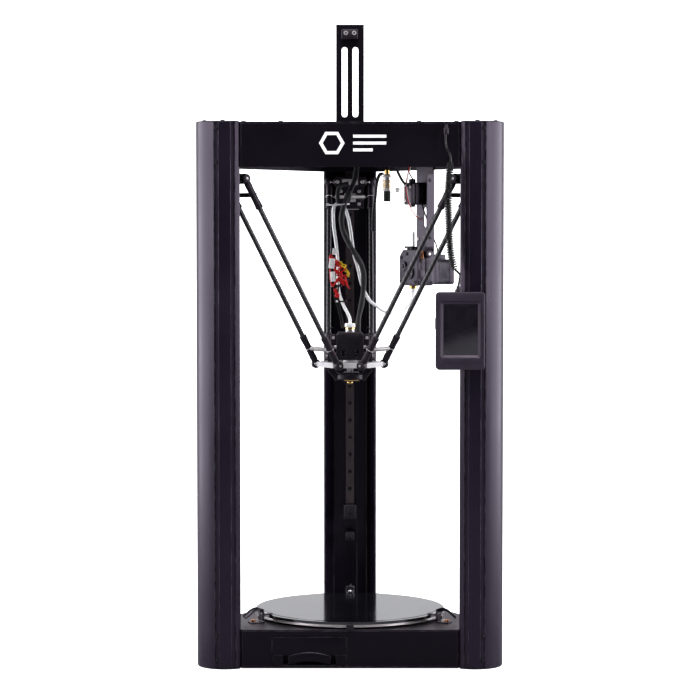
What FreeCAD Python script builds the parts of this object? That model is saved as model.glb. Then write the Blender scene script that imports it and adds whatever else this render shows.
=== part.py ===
"""A free-standing delta 3D printer: three extruded columns, a hexagonal base and top frame, three
carriages on linear rails, six ball-ended arms and an effector that carries the hot end.

Frame: millimetres, +Z up, +X to the right and +Y to the back. The origin is the centre of the bed's top
face, which is the printer's own zero point. Each column's pieces are drawn on the rear column, where
+Y points outward, and are then turned about Z to the left and right columns.
"""

import FreeCAD, Part
import math
import os

import Sketcher

COLUMNS = (("rear", 0), ("left", 120), ("right", 240))
COS30 = math.sqrt(3) / 2

DIMENSIONS = {
    # heights
    "floor_z": -64.0,
    "foot_height": 2.3,
    "base_top_z": -10.0,
    "top_frame_z": 604.6,
    "top_z": 664.3,
    "sheet": 2.0,
    # plan of the hexagonal base and top frame
    "side_apothem": 131.0,
    "end_apothem": 190.0,
    # column section
    "column_half": 38.0,
    "column_centre": 193.0,
    "groove_depth": 1.8,
    "channel_half": 22.5,
    "lip": 6.0,
    "pocket_half": 26.0,
    "pocket_floor": 217.0,
    "rib_half": 7.0,
    "rail_seat": 206.0,
    "chamber_floor": 219.5,
    "chamber_radius": 35.5,
    # linear rail
    "rail_half": 6.0,
    "rail_height": 8.0,
    "rail_low": 105.0,
    "rail_high": 655.0,
    "rail_pitch": 25.0,
    "rail_screw": 1.5,
    "rail_screw_head": 2.75,
    # belt drive
    "belt_offset": 17.0,
    "belt_inner": 6.18,
    "belt_outer": 7.6,
    "belt_near": 207.5,
    "belt_far": 213.5,
    "pulley_radius": 6.1,
    "flange_radius": 8.2,
    "shaft_radius": 2.5,
    "motor_z": -37.0,
    "idler_z": 639.0,
    "motor_side": 42.0,
    "motor_length": 38.0,
    "running_gap": 0.05,
    # carriages
    "carriage_low": 551.0,
    "carriage_high": 596.4,
    "block_half": 13.5,
    "block_front": 193.0,
    "block_back": 203.0,
    "plate_half": 20.0,
    "plate_front": 187.0,
    # arms
    "carriage_pivot": 178.0,
    "effector_pivot": 36.0,
    "pivot_half": 30.0,
    "carriage_ball_z": 589.7,
    "effector_ball_z": 336.6,
    "ball_radius": 4.0,
    "cup_radius": 6.2,
    "cup_thick": 6.4,
    "stud_radius": 2.0,
    "tube_radius": 3.1,
    "sleeve_radius": 4.7,
    "sleeve_length": 44.0,
    # effector
    "effector_half": 22.0,
    "effector_apothem": 39.5,
    "effector_thick": 7.0,
    "nozzle_z": 308.5,
    "shroud_half": 18.5,
    "shroud_low": 343.0,
    "shroud_high": 384.5,
    "hotend_top": 392.7,
    "fan_z": 363.7,
    # bed
    "bed_radius": 130.0,
    "heater_radius": 127.0,
    "glass_thick": 4.0,
    "coating_radius": 122.0,
    "coating_thick": 0.3,
    "heater_thick": 3.0,
    # drawer
    "drawer_left": -103.6,
    "drawer_right": -4.5,
    "drawer_top": -20.0,
    "drawer_depth": 92.0,
    "recess_left": -88.0,
    "recess_right": -18.0,
    "recess_top": -38.0,
    # spool bracket
    "bracket_half": 20.0,
    "bracket_face": 183.0,
    "bracket_thick": 3.0,
    "bracket_top": 816.0,
    "slot_offset": 7.8,
    "slot_half": 4.3,
    "slot_low": 683.0,
    "slot_high": 784.0,
    # screen
    "screen_x": 144.5,
    "screen_z": 389.5,
    "screen_half_width": 32.5,
    "screen_half_height": 51.2,
    "screen_front": -163.0,
    "screen_back": -147.0,
    # feeder, seen from the axis: out = distance from the axis, along = towards the rear column
    "feeder_low": 443.0,
    "feeder_high": 493.0,
    "filament_out": 110.0,
    "filament_along": 13.0,
    "ptfe_radius": 2.0,
}

doc = FreeCAD.newDocument("delta_printer")
sheet = doc.addObject("Spreadsheet::Sheet", "Dim")
NODES = []


class Size:
    """A number together with the spreadsheet formula it comes from."""

    def __init__(self, value, formula):
        self.value = float(value)
        self.formula = formula

    def __add__(self, other):
        other = as_size(other)
        return Size(self.value + other.value, f"({self.formula} + {other.formula})")

    def __sub__(self, other):
        other = as_size(other)
        return Size(self.value - other.value, f"({self.formula} - {other.formula})")

    def __mul__(self, other):
        other = as_size(other)
        return Size(self.value * other.value, f"({self.formula} * {other.formula})")

    def __truediv__(self, other):
        other = as_size(other)
        return Size(self.value / other.value, f"({self.formula} / {other.formula})")

    def __neg__(self):
        return Size(-self.value, f"(0 - {self.formula})")

    __radd__ = __add__

    def __rsub__(self, other):
        return as_size(other) - self

    __rmul__ = __mul__


def as_size(number):
    if isinstance(number, Size):
        return number
    return Size(number, f"({float(number):.6f})")


class Dimensions:
    """The driving dimensions, read by name, each bound to its cell of the sheet."""


def write_sheet():
    dims = Dimensions()
    for row, (name, value) in enumerate(DIMENSIONS.items(), start=1):
        sheet.set(f"A{row}", name)
        sheet.set(f"B{row}", f"{value:g}")
        sheet.setAlias(f"B{row}", name)
        setattr(dims, name, Size(value, f"Dim.{name}"))
    doc.recompute()
    return dims


D = write_sheet()


# ---------------------------------------------------------------- building blocks


def bind(obj, prop, number):
    number = as_size(number)
    obj.setExpression(prop, number.formula)


def move(obj, x=0, y=0, z=0):
    for axis, number in zip("xyz", (x, y, z)):
        bind(obj, f"Placement.Base.{axis}", number)


def box(x, y, z, name="box"):
    """A box given by its (low, high) along each axis."""
    obj = doc.addObject("Part::Box", name)
    for prop, (low, high) in zip(("Length", "Width", "Height"), (x, y, z)):
        bind(obj, prop, as_size(high) - low)
    move(obj, x[0], y[0], z[0])
    return obj


AXIS_TURN = {
    "x": FreeCAD.Rotation(FreeCAD.Vector(0, 1, 0), 90),
    "y": FreeCAD.Rotation(FreeCAD.Vector(1, 0, 0), -90),
    "z": FreeCAD.Rotation(),
}


def rod(axis, radius, centre, span, name="rod"):
    """A cylinder along an axis. centre holds its other two coordinates, in x, y, z order."""
    obj = doc.addObject("Part::Cylinder", name)
    bind(obj, "Radius", radius)
    bind(obj, "Height", as_size(span[1]) - span[0])
    obj.Placement = FreeCAD.Placement(FreeCAD.Vector(), AXIS_TURN[axis])
    place = list(centre)
    place.insert("xyz".index(axis), span[0])
    move(obj, *place)
    return obj


def ball(radius, centre, name="ball"):
    """A sphere with its poles along X, so that it meets a pin along X at a clean circle."""
    obj = doc.addObject("Part::Sphere", name)
    bind(obj, "Radius", radius)
    obj.Placement = FreeCAD.Placement(FreeCAD.Vector(), AXIS_TURN["x"])
    move(obj, *centre)
    return obj


def fuse(*shapes, name="fuse"):
    obj = doc.addObject("Part::MultiFuse", name)
    obj.Shapes = list(shapes)
    obj.Refine = True
    return obj


def cut(base, *tools, name="cut"):
    obj = doc.addObject("Part::Cut", name)
    obj.Base = base
    obj.Tool = tools[0] if len(tools) == 1 else fuse(*tools)
    return obj


def group(*shapes, name="group"):
    obj = doc.addObject("Part::Compound", name)
    obj.Links = list(shapes)
    return obj


def turned(obj, degrees):
    """The object turned about the vertical axis through the origin."""
    wrap = group(obj)
    wrap.Placement = FreeCAD.Placement(FreeCAD.Vector(), FreeCAD.Rotation(FreeCAD.Vector(0, 0, 1), degrees))
    return wrap


def node(label, obj):
    """Names the finished sub-part. The label is its file's name."""
    obj.Label = label
    NODES.append(obj)
    return obj


def all_columns(obj, label):
    """One node with the same piece at each of the three columns."""
    return node(label, group(*[turned(obj, degrees) for _, degrees in COLUMNS]))


def each_column(obj, label):
    """A node of its own for the piece at each column."""
    for side, degrees in COLUMNS:
        node(f"{label}_{side}", turned(obj, degrees))


def plane_of(body, role):
    return next(f for f in body.Origin.OriginFeatures if f.Role == role)


def outline_sketch(body, points, arcs=()):
    """A closed sketch on the body's XY plane. Every corner is bound to the sheet. arcs maps the index of
    an edge to (a point on it, its radius)."""
    sketch = body.newObject("Sketcher::SketchObject", "outline")
    sketch.AttachmentSupport = [(plane_of(body, "XY_Plane"), "")]
    sketch.MapMode = "FlatFace"
    arcs = dict(arcs)
    corners = [(as_size(x), as_size(y)) for x, y in points]
    vectors = [FreeCAD.Vector(x.value, y.value, 0) for x, y in corners]
    ends = []
    for i, start in enumerate(vectors):
        finish = vectors[(i + 1) % len(vectors)]
        if i in arcs:
            through = FreeCAD.Vector(arcs[i][0][0], arcs[i][0][1], 0)
            edge = sketch.addGeometry(Part.Arc(start, through, finish), False)
            flipped = sketch.Geometry[edge].StartPoint.distanceToPoint(start) > 1e-6
            ends.append((edge, 2, 1) if flipped else (edge, 1, 2))
        else:
            edge = sketch.addGeometry(Part.LineSegment(start, finish), False)
            ends.append((edge, 1, 2))
    for i, (edge, start, finish) in enumerate(ends):
        following = ends[(i + 1) % len(ends)]
        sketch.addConstraint(Sketcher.Constraint("Coincident", edge, finish, following[0], following[1]))
        for kind, number in zip(("DistanceX", "DistanceY"), corners[i]):
            index = sketch.addConstraint(Sketcher.Constraint(kind, edge, start, number.value))
            sketch.setExpression(f"Constraints[{index}]", number.formula)
        if i in arcs:
            radius = as_size(arcs[i][1])
            index = sketch.addConstraint(Sketcher.Constraint("Radius", edge, radius.value))
            sketch.setExpression(f"Constraints[{index}]", radius.formula)
    return sketch


def prism(points, low, high, arcs=(), name="prism"):
    """A PartDesign body padded up from a bound outline."""
    body = doc.addObject("PartDesign::Body", name)
    sketch = outline_sketch(body, points, arcs)
    pad = body.newObject("PartDesign::Pad", "pad")
    pad.Profile = sketch
    bind(pad, "Length", as_size(high) - low)
    body.Tip = pad
    move(body, 0, 0, low)
    return body


def pipe(points, radius, label):
    """A round tube or cable along a smooth curve through the points."""
    curve = Part.BSplineCurve()
    curve.interpolate([FreeCAD.Vector(*[as_size(c).value for c in point]) for point in points])
    spine = Part.Wire(curve.toShape())
    start = curve.value(curve.FirstParameter)
    ring = Part.Circle(start, curve.tangent(curve.FirstParameter)[0], as_size(radius).value)
    obj = doc.addObject("Part::Feature", label)
    obj.Shape = spine.makePipeShell([Part.Wire(ring.toShape())], True, True)
    return node(label, obj)


# ---------------------------------------------------------------- columns

WALL_LOW = D.floor_z + D.foot_height
PANEL_LOW = WALL_LOW + D.sheet
PANEL_HIGH = D.base_top_z - D.sheet
COVER_LOW = D.top_z - D.sheet
RAIL_FRONT = D.rail_seat - D.rail_height
SCREW_HEIGHTS = (656.0, 610.6, -19.4, -51.8)
SCREW_ANGLE = 45.5


def on_column(degrees, depth=0):
    """A point of the column's round outside, measured from the outward direction."""
    angle = math.radians(degrees)
    radius = D.column_half - depth
    return radius * math.sin(angle), D.column_centre + radius * math.cos(angle)


def column_outline():
    """The right half of the section, from the inner lip round to the edge of the smooth outer arc."""
    depth = D.groove_depth
    return [
        (D.column_half, D.end_apothem),
        (D.column_half, D.column_centre),
        on_column(84),
        on_column(84, depth),
        on_column(75, depth),
        on_column(75),
        on_column(67),
        on_column(50),
        on_column(50, depth),
        on_column(41, depth),
        on_column(41),
    ]


def channel_outline():
    """The right half of the rail channel and belt pocket, from the middle of the rib out to the lip."""
    return [
        (D.rib_half, D.rail_seat),
        (D.rib_half, D.pocket_floor),
        (D.pocket_half, D.pocket_floor),
        (D.pocket_half, D.end_apothem + D.lip),
        (D.channel_half, D.end_apothem + D.lip),
        (D.channel_half, D.end_apothem),
    ]


def mirrored(points):
    return [(-as_size(x), y) for x, y in reversed(points)]


def column_screw_places():
    """Side, height and turn of each screw that holds a column to the base and the top frame."""
    return [(side, z) for side in (-1, 1) for z in SCREW_HEIGHTS]


def column_screw(side, z, low, high, radius):
    """A cylinder pointing out of the column's side groove, between two depths from its middle."""
    obj = doc.addObject("Part::Cylinder", "side_screw")
    bind(obj, "Radius", radius)
    bind(obj, "Height", as_size(high) - low)
    angle = math.radians(SCREW_ANGLE * side)
    direction = FreeCAD.Vector(math.sin(angle), math.cos(angle), 0)
    obj.Placement = FreeCAD.Placement(
        FreeCAD.Vector(), FreeCAD.Rotation(FreeCAD.Vector(0, 0, 1), direction)
    )
    move(obj, as_size(low) * direction.x, D.column_centre + as_size(low) * direction.y, z)
    return obj


def rail_holes():
    count = int((D.rail_high.value - D.rail_low.value) / D.rail_pitch.value)
    return [D.rail_low + D.rail_pitch * (i + 0.5) for i in range(count)]


def rail_screw(z, head_radius, head_depth):
    """A cap screw, or the stepped hole for one, through the rail and into the column's rib."""
    shank = rod("y", D.rail_screw, (0, z), (RAIL_FRONT + 1, D.rail_seat + 6))
    head = rod("y", head_radius, (0, z), (RAIL_FRONT + 1, RAIL_FRONT + head_depth))
    return fuse(shank, head)


column_arc = {10: ((0.0, (D.column_centre + D.column_half).value), D.column_half)}
column_body = prism(
    column_outline() + mirrored(column_outline()) + mirrored(channel_outline()) + channel_outline(),
    WALL_LOW,
    D.top_z,
    column_arc,
    name="column_section",
)
half_chord = math.sqrt(35.5**2 - 26.5**2)
chamber = prism(
    [(half_chord, D.chamber_floor), (-half_chord, D.chamber_floor)],
    WALL_LOW - 1,
    D.top_z + 1,
    {1: ((0.0, (D.column_centre + D.chamber_radius).value), D.chamber_radius)},
    name="column_chamber",
)
side_screws = [
    column_screw(side, z, D.column_half - D.groove_depth - 1.5, D.column_half - 0.6, 2.2)
    for side, z in column_screw_places()
]
rail_screws = [rail_screw(z, D.rail_screw_head, 4.6) for z in rail_holes()]
axle = fuse(
    rod("y", D.shaft_radius, (D.belt_offset, D.idler_z), (D.belt_near - 2, D.pocket_floor + 2)),
    rod("y", 4.2, (D.belt_offset, D.idler_z), (D.belt_near - 4.4, D.belt_near - 2)),
)
each_column(cut(column_body, chamber, *side_screws, *rail_screws, axle), "tower")
all_columns(group(*side_screws, *rail_screws, axle), "frame_screws")
all_columns(rod("z", 12, (0, 214), (D.floor_z, WALL_LOW)), "tower_feet")

rail_bar = box((-D.rail_half, D.rail_half), (RAIL_FRONT, D.rail_seat), (D.rail_low, D.rail_high))
counterbores = [
    rod("y", D.rail_screw_head + 0.25, (0, z), (RAIL_FRONT - 1, RAIL_FRONT + 4.6)) for z in rail_holes()
]
all_columns(cut(rail_bar, *rail_screws, *counterbores), "linear_rails")


# ---------------------------------------------------------------- belt drive


def stadium(radius, margin):
    """The loop's outline filled in: a slab with two round ends, as wide as the belt plus a margin."""
    y = (D.belt_near - margin, D.belt_far + margin)
    return fuse(
        box((D.belt_offset - radius, D.belt_offset + radius), y, (D.motor_z, D.idler_z)),
        rod("y", radius, (D.belt_offset, D.motor_z), y),
        rod("y", radius, (D.belt_offset, D.idler_z), y),
    )


def pulley(z, *others, bore=None):
    """A flanged belt pulley at a height, fused with its shaft or bored for its axle."""
    rim = rod("y", D.pulley_radius, (D.belt_offset, z), (D.belt_near - 0.1, D.belt_far + 0.1))
    flanges = [
        rod("y", D.flange_radius, (D.belt_offset, z), (near, near + 1))
        for near in (D.belt_near - 1.1, D.belt_far + 0.1)
    ]
    wheel = fuse(rim, *flanges, *others)
    if bore is None:
        return wheel
    return cut(wheel, rod("y", bore, (D.belt_offset, z), (D.belt_near - 5, D.belt_far + 5)))


all_columns(cut(stadium(D.belt_outer, 0), stadium(D.belt_inner, 1)), "belts")
each_column(pulley(D.idler_z, bore=D.shaft_radius + D.running_gap), "idler")

motor_face = D.end_apothem - D.sheet - D.running_gap
motor_half = D.motor_side / 2
motor_body = box(
    (D.belt_offset - motor_half, D.belt_offset + motor_half),
    (motor_face - D.motor_length, motor_face),
    (D.motor_z - motor_half, D.motor_z + motor_half),
)
motor_boss = rod("y", 11, (D.belt_offset, D.motor_z), (motor_face, D.end_apothem - 0.2))
motor_bore = rod(
    "y", D.shaft_radius + D.running_gap, (D.belt_offset, D.motor_z), (motor_face - 10, D.end_apothem)
)
each_motor = cut(fuse(motor_body, motor_boss), motor_bore)
all_columns(each_motor, "stepper_motors")
motor_shaft = rod("y", D.shaft_radius, (D.belt_offset, D.motor_z), (motor_face - 9, D.belt_far + 2))
pulley_hub = rod("y", 7.5, (D.belt_offset, D.motor_z), (D.belt_near - 8, D.belt_near - 1))
each_column(pulley(D.motor_z, motor_shaft, pulley_hub), "drive_pulley")


# ---------------------------------------------------------------- base and top frame


def hexagon(inset):
    """The outline of the base, moved inward by the inset: long sides between the columns, short ends at
    them. Corners run anticlockwise from the rear column's right side."""
    side = D.side_apothem - inset
    end = D.end_apothem - inset
    corner = (side - end / 2) / COS30
    points = []
    for degrees in (0, 120, 240):
        turn = math.radians(degrees)
        for x in (corner, -corner):
            along = x * math.cos(turn) - end * math.sin(turn)
            across = x * math.sin(turn) + end * math.cos(turn)
            points.append((along, across))
    return points


def hex_plate(inset, low, high, name):
    return prism(hexagon(inset), low, high, name=name)


def hex_ring(low, high, name):
    """A wall one sheet thick around the hexagon."""
    return cut(hex_plate(0, low, high, name), hex_plate(D.sheet, as_size(low) - 1, as_size(high) + 1, name))


def at_all(obj):
    return group(*[turned(obj, degrees) for _, degrees in COLUMNS])


drawer_x = (D.drawer_left, D.drawer_right)
drawer_opening = box(
    (D.drawer_left - 0.5, D.drawer_right + 0.5),
    (-D.side_apothem - 5, -D.side_apothem + 5),
    (PANEL_LOW - 1, D.drawer_top + 0.5),
)
boss_holes = at_all(rod("y", 11.1, (D.belt_offset, D.motor_z), (motor_face - 1, D.end_apothem + 1)))
inlet_opening = box((60, 90), (D.side_apothem - 5, D.side_apothem + 5), (-50, -22))
switch_opening = box((93, 109), (D.side_apothem - 5, D.side_apothem + 5), (-50, -22))
inlet_cut = group(inlet_opening, switch_opening)
inlet_cut.Placement = FreeCAD.Placement(FreeCAD.Vector(), FreeCAD.Rotation(FreeCAD.Vector(0, 0, 1), -60))
node("base_wall", cut(hex_ring(PANEL_LOW, PANEL_HIGH, "base_ring"), drawer_opening, boss_holes, inlet_cut))
node("base_bottom_plate", hex_plate(0, WALL_LOW, PANEL_LOW, "base_bottom"))
bed_posts = at_all(rod("z", 5, (0, 100), (PANEL_HIGH, -D.glass_thick - D.heater_thick)))
node("base_top_plate", fuse(hex_plate(0, PANEL_HIGH, D.base_top_z, "base_top"), bed_posts))

top_ring = hex_ring(D.top_frame_z, COVER_LOW, "top_ring")
node("top_frame", top_ring)
node("top_cover", hex_plate(0, COVER_LOW, D.top_z, "cover"))

# tool drawer: a tray behind a thick moulded front with a finger recess
tray_y = (-D.side_apothem, -D.side_apothem + D.drawer_depth)
tray = box(drawer_x, tray_y, (PANEL_LOW + 0.1, D.drawer_top))
hollow = box(
    (D.drawer_left + D.sheet, D.drawer_right - D.sheet),
    (-D.side_apothem + 15, -D.side_apothem + D.drawer_depth - D.sheet),
    (PANEL_LOW + 0.1 + D.sheet, D.drawer_top + 1),
)
recess = box(
    (D.recess_left, D.recess_right),
    (-D.side_apothem - 1, -D.side_apothem + 12),
    (PANEL_LOW + 2.5, D.recess_top),
)
pull_lip = box(
    (D.recess_left + 7, D.recess_right - 7),
    (-D.side_apothem, -D.side_apothem + D.sheet),
    (D.recess_top - 9, D.recess_top + 1),
)
node("tool_drawer", fuse(cut(tray, hollow, recess), pull_lip))

node("power_supply", box((-10, 100), (-25, 75), (PANEL_LOW, PANEL_LOW + 30)))

# rocker switch beside the power socket, in the right-hand side of the base
side_face = D.side_apothem
housing = cut(
    box((93, 109), (side_face - 14, side_face), (-50, -22)),
    box((94.5, 107.5), (side_face - 12, side_face + 1), (-48, -24)),
)
flange = cut(
    box((91.5, 110.5), (side_face, side_face + 1.5), (-51.5, -20.5)),
    box((94.5, 107.5), (side_face - 1, side_face + 2), (-48, -24)),
)
pin = rod("x", 1.5, (side_face - 5, -36), (93.5, 108.5))
socket = cut(
    fuse(
        box((60, 90), (side_face - 16, side_face), (-50, -22)),
        box((58, 91.5), (side_face, side_face + 1.5), (-51.5, -20.5)),
    ),
    box((64, 86), (side_face - 13, side_face + 2), (-46, -26)),
)
pins = [
    box((x - 1, x + 1), (side_face - 13, side_face - 4), (z - 3, z + 3))
    for x, z in ((69, -38), (75, -33), (81, -38))
]
inlet = fuse(socket, *pins, housing, flange, pin)
rocker = cut(
    fuse(
        rod("x", 7, (side_face - 5, -36), (94.7, 107.3)),
        box((94.7, 107.3), (side_face - 5, side_face + 2), (-46, -26)),
    ),
    rod("x", 1.5 + D.running_gap, (side_face - 5, -36), (90, 110)),
)
node("power_inlet", turned(inlet, -60))
node("power_rocker", turned(rocker, -60))

# spool bracket: an upright plate with two slots and a folded hook at its top
bracket_y = (D.bracket_face, D.bracket_face + D.bracket_thick)
upright = box((-D.bracket_half, D.bracket_half), bracket_y, (D.top_z, D.bracket_top))
foot = box(
    (-D.bracket_half, D.bracket_half),
    (D.bracket_face - 22, D.bracket_face),
    (D.top_z, D.top_z + D.bracket_thick),
)
slot_y = (D.bracket_face - 1, D.bracket_face + D.bracket_thick + 1)
slots = []
for side in (-1, 1):
    middle = D.slot_offset * side
    slot_z = (D.slot_low + D.slot_half, D.slot_high - D.slot_half)
    slots.append(box((middle - D.slot_half, middle + D.slot_half), slot_y, slot_z))
    slots.append(rod("y", D.slot_half, (middle, D.slot_low + D.slot_half), slot_y))
    slots.append(rod("y", D.slot_half, (middle, D.slot_high - D.slot_half), slot_y))
hook_holes = [rod("y", 2.2, (x, 803), slot_y) for x in (-6, 6)]
hook = fuse(
    box((-12, 11), (D.bracket_face - 14, D.bracket_face), (795.0, 797.5)),
    box((-12, 11), (D.bracket_face - 14, D.bracket_face - 11.5), (797.0, 808)),
)
node("spool_bracket", fuse(cut(fuse(upright, foot), *slots, *hook_holes), hook))


# ---------------------------------------------------------------- bed

glass_low = -D.glass_thick
heater_low = glass_low - D.heater_thick
glass_top = -D.coating_thick
glass = rod("z", D.bed_radius, (0, 0), (glass_low, glass_top))
coating = rod("z", D.coating_radius, (0, 0), (glass_top, 0))
node("bed_glass", fuse(glass, coating))
node("heater_plate", rod("z", D.heater_radius, (0, 0), (heater_low, glass_low)))
clip = fuse(
    box((-7, 7), (138, 150), (D.base_top_z, D.base_top_z + D.sheet)),
    box((-6, 6), (138, 140), (D.base_top_z, 9)),
    box((-6, 6), (D.bed_radius - 7, 140), (glass_top, 1.6)),
    rod("z", 3.2, (0, 145), (D.base_top_z + D.sheet, D.base_top_z + D.sheet + 3)),
    box((-4, 4), (140, 152), (5, 7)),
)
all_columns(clip, "bed_clips")


# ---------------------------------------------------------------- carriages

carriage_z = (D.carriage_low, D.carriage_high)
block = cut(
    box((-D.block_half, D.block_half), (D.block_front, D.block_back), carriage_z),
    box(
        (-D.rail_half - D.running_gap, D.rail_half + D.running_gap),
        (RAIL_FRONT - D.running_gap, D.rail_seat),
        (D.carriage_low - 1, D.carriage_high + 1),
    ),
)
each_column(block, "rail_block")

stud_y = D.carriage_pivot
plate = box((-D.plate_half, D.plate_half), (D.plate_front, D.block_front), carriage_z)
yoke = box((-22, 22), (stud_y - 6, D.plate_front), (D.carriage_ball_z - 7, D.carriage_high))
cover = box((-16, 16), (D.plate_front - 6, D.plate_front), (D.carriage_low + 2, D.carriage_ball_z - 7))
clamp_z = (D.carriage_low + 8, D.carriage_low + 30)
clamp_reach = (D.block_back + 0.5, D.belt_far + 1)
clamp = fuse(
    box((D.block_half + 0.3, D.plate_half), (D.block_front - 2, D.belt_far + 1), clamp_z),
    box((D.rib_half + 0.8, D.plate_half), clamp_reach, clamp_z),
)
belt_run = D.belt_offset - (D.belt_inner + D.belt_outer) / 2
belt_slot = box(
    (belt_run - 0.8, belt_run + 0.8), (D.belt_near - 0.1, D.belt_far + 2), (clamp_z[0] - 1, clamp_z[1] + 1)
)
through_axle = rod("x", D.stud_radius, (stud_y, D.carriage_ball_z), (-30, 30))
each_column(cut(fuse(plate, yoke, cover, clamp), belt_slot, through_axle), "carriage")


def ball_axle(y, z, half):
    """A steel pin with a ball at each end."""
    return fuse(
        rod("x", D.stud_radius, (y, z), (-half, half)),
        ball(D.ball_radius, (half, y, z)),
        ball(D.ball_radius, (-half, y, z)),
    )


each_column(ball_axle(stud_y, D.carriage_ball_z, D.pivot_half), "ball_axle")


# ---------------------------------------------------------------- arms

arm_across = (D.carriage_pivot - D.effector_pivot).value
arm_drop = (D.carriage_ball_z - D.effector_ball_z).value
arm_length = math.hypot(arm_across, arm_drop)
arm_lean = math.degrees(math.atan2(arm_across, arm_drop))


def arm(side):
    """One arm, drawn upright from its lower ball and then leaned out to its carriage."""
    reach = D.cup_thick * side
    inner = as_size(-1.2 * side)
    heads = []
    for z in (0, arm_length):
        low, high = sorted((inner, reach), key=lambda size: size.value)
        heads.append(rod("x", D.cup_radius, (0, z), (low, high)))
    tube = rod("z", D.tube_radius, (0, 0), (5, arm_length - 5))
    sleeves = [
        rod("z", D.sleeve_radius, (0, 0), (4.5, D.sleeve_length)),
        rod("z", D.sleeve_radius, (0, 0), (arm_length - D.sleeve_length, arm_length - 4.5)),
    ]
    sockets = [ball(D.ball_radius + D.running_gap, (0, 0, z)) for z in (0, arm_length)]
    upright_arm = cut(fuse(*heads, *sleeves, tube), *sockets)
    leaned = group(upright_arm)
    leaned.Placement = FreeCAD.Placement(
        FreeCAD.Vector(), FreeCAD.Rotation(FreeCAD.Vector(1, 0, 0), -arm_lean)
    )
    move(leaned, D.pivot_half * side, D.effector_pivot, D.effector_ball_z)
    return leaned


for side, name in ((-1, "a"), (1, "b")):
    leaned_arm = arm(side)
    for column, degrees in COLUMNS:
        node(f"arm_{column}_{name}", turned(leaned_arm, degrees))


# ---------------------------------------------------------------- effector

plate_low = D.effector_ball_z - D.effector_thick / 2
plate_high = plate_low + D.effector_thick
effector_corners = []
for _, degrees in COLUMNS:
    turn = math.radians(degrees)
    for x in (D.effector_half, -D.effector_half):
        effector_corners.append(
            (
                x * math.cos(turn) - D.effector_apothem * math.sin(turn),
                x * math.sin(turn) + D.effector_apothem * math.cos(turn),
            )
        )
duct_slots = [box((x, x + 8.4), (-8.2, 8.2), (plate_low - 1, plate_high + 1)) for x in (-31.2, 22.8)]
stud_bores = at_all(rod("x", D.stud_radius, (D.effector_pivot, D.effector_ball_z), (-27, 27)))
node(
    "effector_plate",
    cut(
        prism(effector_corners, plate_low, plate_high, name="effector"),
        rod("z", 8, (0, 0), (plate_low - 1, plate_high + 1)),
        *duct_slots,
        stud_bores,
    ),
)
all_columns(ball_axle(D.effector_pivot, D.effector_ball_z, D.pivot_half), "effector_studs")

fins = [rod("z", 11, (0, 0), (345.5 + 4.2 * i, 347.5 + 4.2 * i)) for i in range(7)]
hotend = fuse(
    rod("z", 12, (0, 0), (plate_high, D.shroud_low)),
    rod("z", 7.9, (0, 0), (plate_low - 1, plate_high)),
    rod("z", 4, (0, 0), (326, D.hotend_top - 8)),
    box((-8, 12), (-10, 10), (314, 326)),
    rod("z", 6, (0, 0), (375, D.shroud_high)),
    rod("z", 5, (0, 0), (D.shroud_high, D.hotend_top - 5)),
    rod("z", 7, (0, 0), (D.hotend_top - 5, D.hotend_top)),
    *fins,
)
bores = [
    rod("z", D.ptfe_radius + 0.6, (0, 0), (D.hotend_top - 20, D.hotend_top + 1)),
    rod("z", 3, (0, 0), (313, 320)),
]
node("hotend", cut(hotend, *bores))
tip = doc.addObject("Part::Cone", "tip")
bind(tip, "Radius1", 0.5)
bind(tip, "Radius2", 3.2)
bind(tip, "Height", 2.5)
move(tip, 0, 0, D.nozzle_z)
filament_bore = rod("z", 0.25, (0, 0), (D.nozzle_z - 1, 321))
node(
    "nozzle",
    cut(
        fuse(tip, rod("z", 4, (0, 0), (D.nozzle_z + 2.5, 314)), rod("z", 3, (0, 0), (314, 320))),
        filament_bore,
    ),
)

half = D.shroud_half
wall = 1.8
shell = cut(
    box((-half, half), (-half, half), (D.shroud_low, D.shroud_high)),
    box((-half + wall, half - wall), (-half + wall, half - wall), (D.shroud_low - 1, D.shroud_high - wall)),
    rod("z", 6, (0, 0), (D.shroud_high - wall - 1, D.shroud_high + 1)),
    rod("y", 13.6, (0, D.fan_z), (0, 40)),
    *[box((x, x + 2.6), (-half - 1, -half + wall + 1), (350, 366)) for x in (-11.6, 9)],
    rod("z", 3.6, (11, 11), (D.shroud_high - wall - 1, D.shroud_high + 1)),
)
fan_ring = cut(
    box((-15, 15), (half, half + 8), (D.fan_z - 15, D.fan_z + 15)), rod("y", 13.6, (0, D.fan_z), (0, 40))
)
spider = [
    box((-14, 14), (half, half + 1.5), (D.fan_z - 1, D.fan_z + 1)),
    box((-1, 1), (half, half + 1.5), (D.fan_z - 14, D.fan_z + 14)),
    rod("y", 1.5, (0, D.fan_z), (half, half + 6.5)),
]
ducts = []
for side in (-1, 1):
    low, high = sorted((half.value * side, 31 * side))
    ducts.append(box((low, high), (-8, 8), (D.shroud_low, 352)))
    low, high = sorted((23 * side, 31 * side))
    ducts.append(box((low, high), (-8, 8), (316, 352)))
    low, high = sorted((18 * side, 31 * side))
    ducts.append(box((low, high), (-6, 6), (316, 324)))
air_ring = cut(rod("z", 22, (0, 0), (316, 324)), rod("z", 17, (0, 0), (300, 340)))
node("hotend_shroud", fuse(shell, fan_ring, *spider, *ducts, air_ring))

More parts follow.
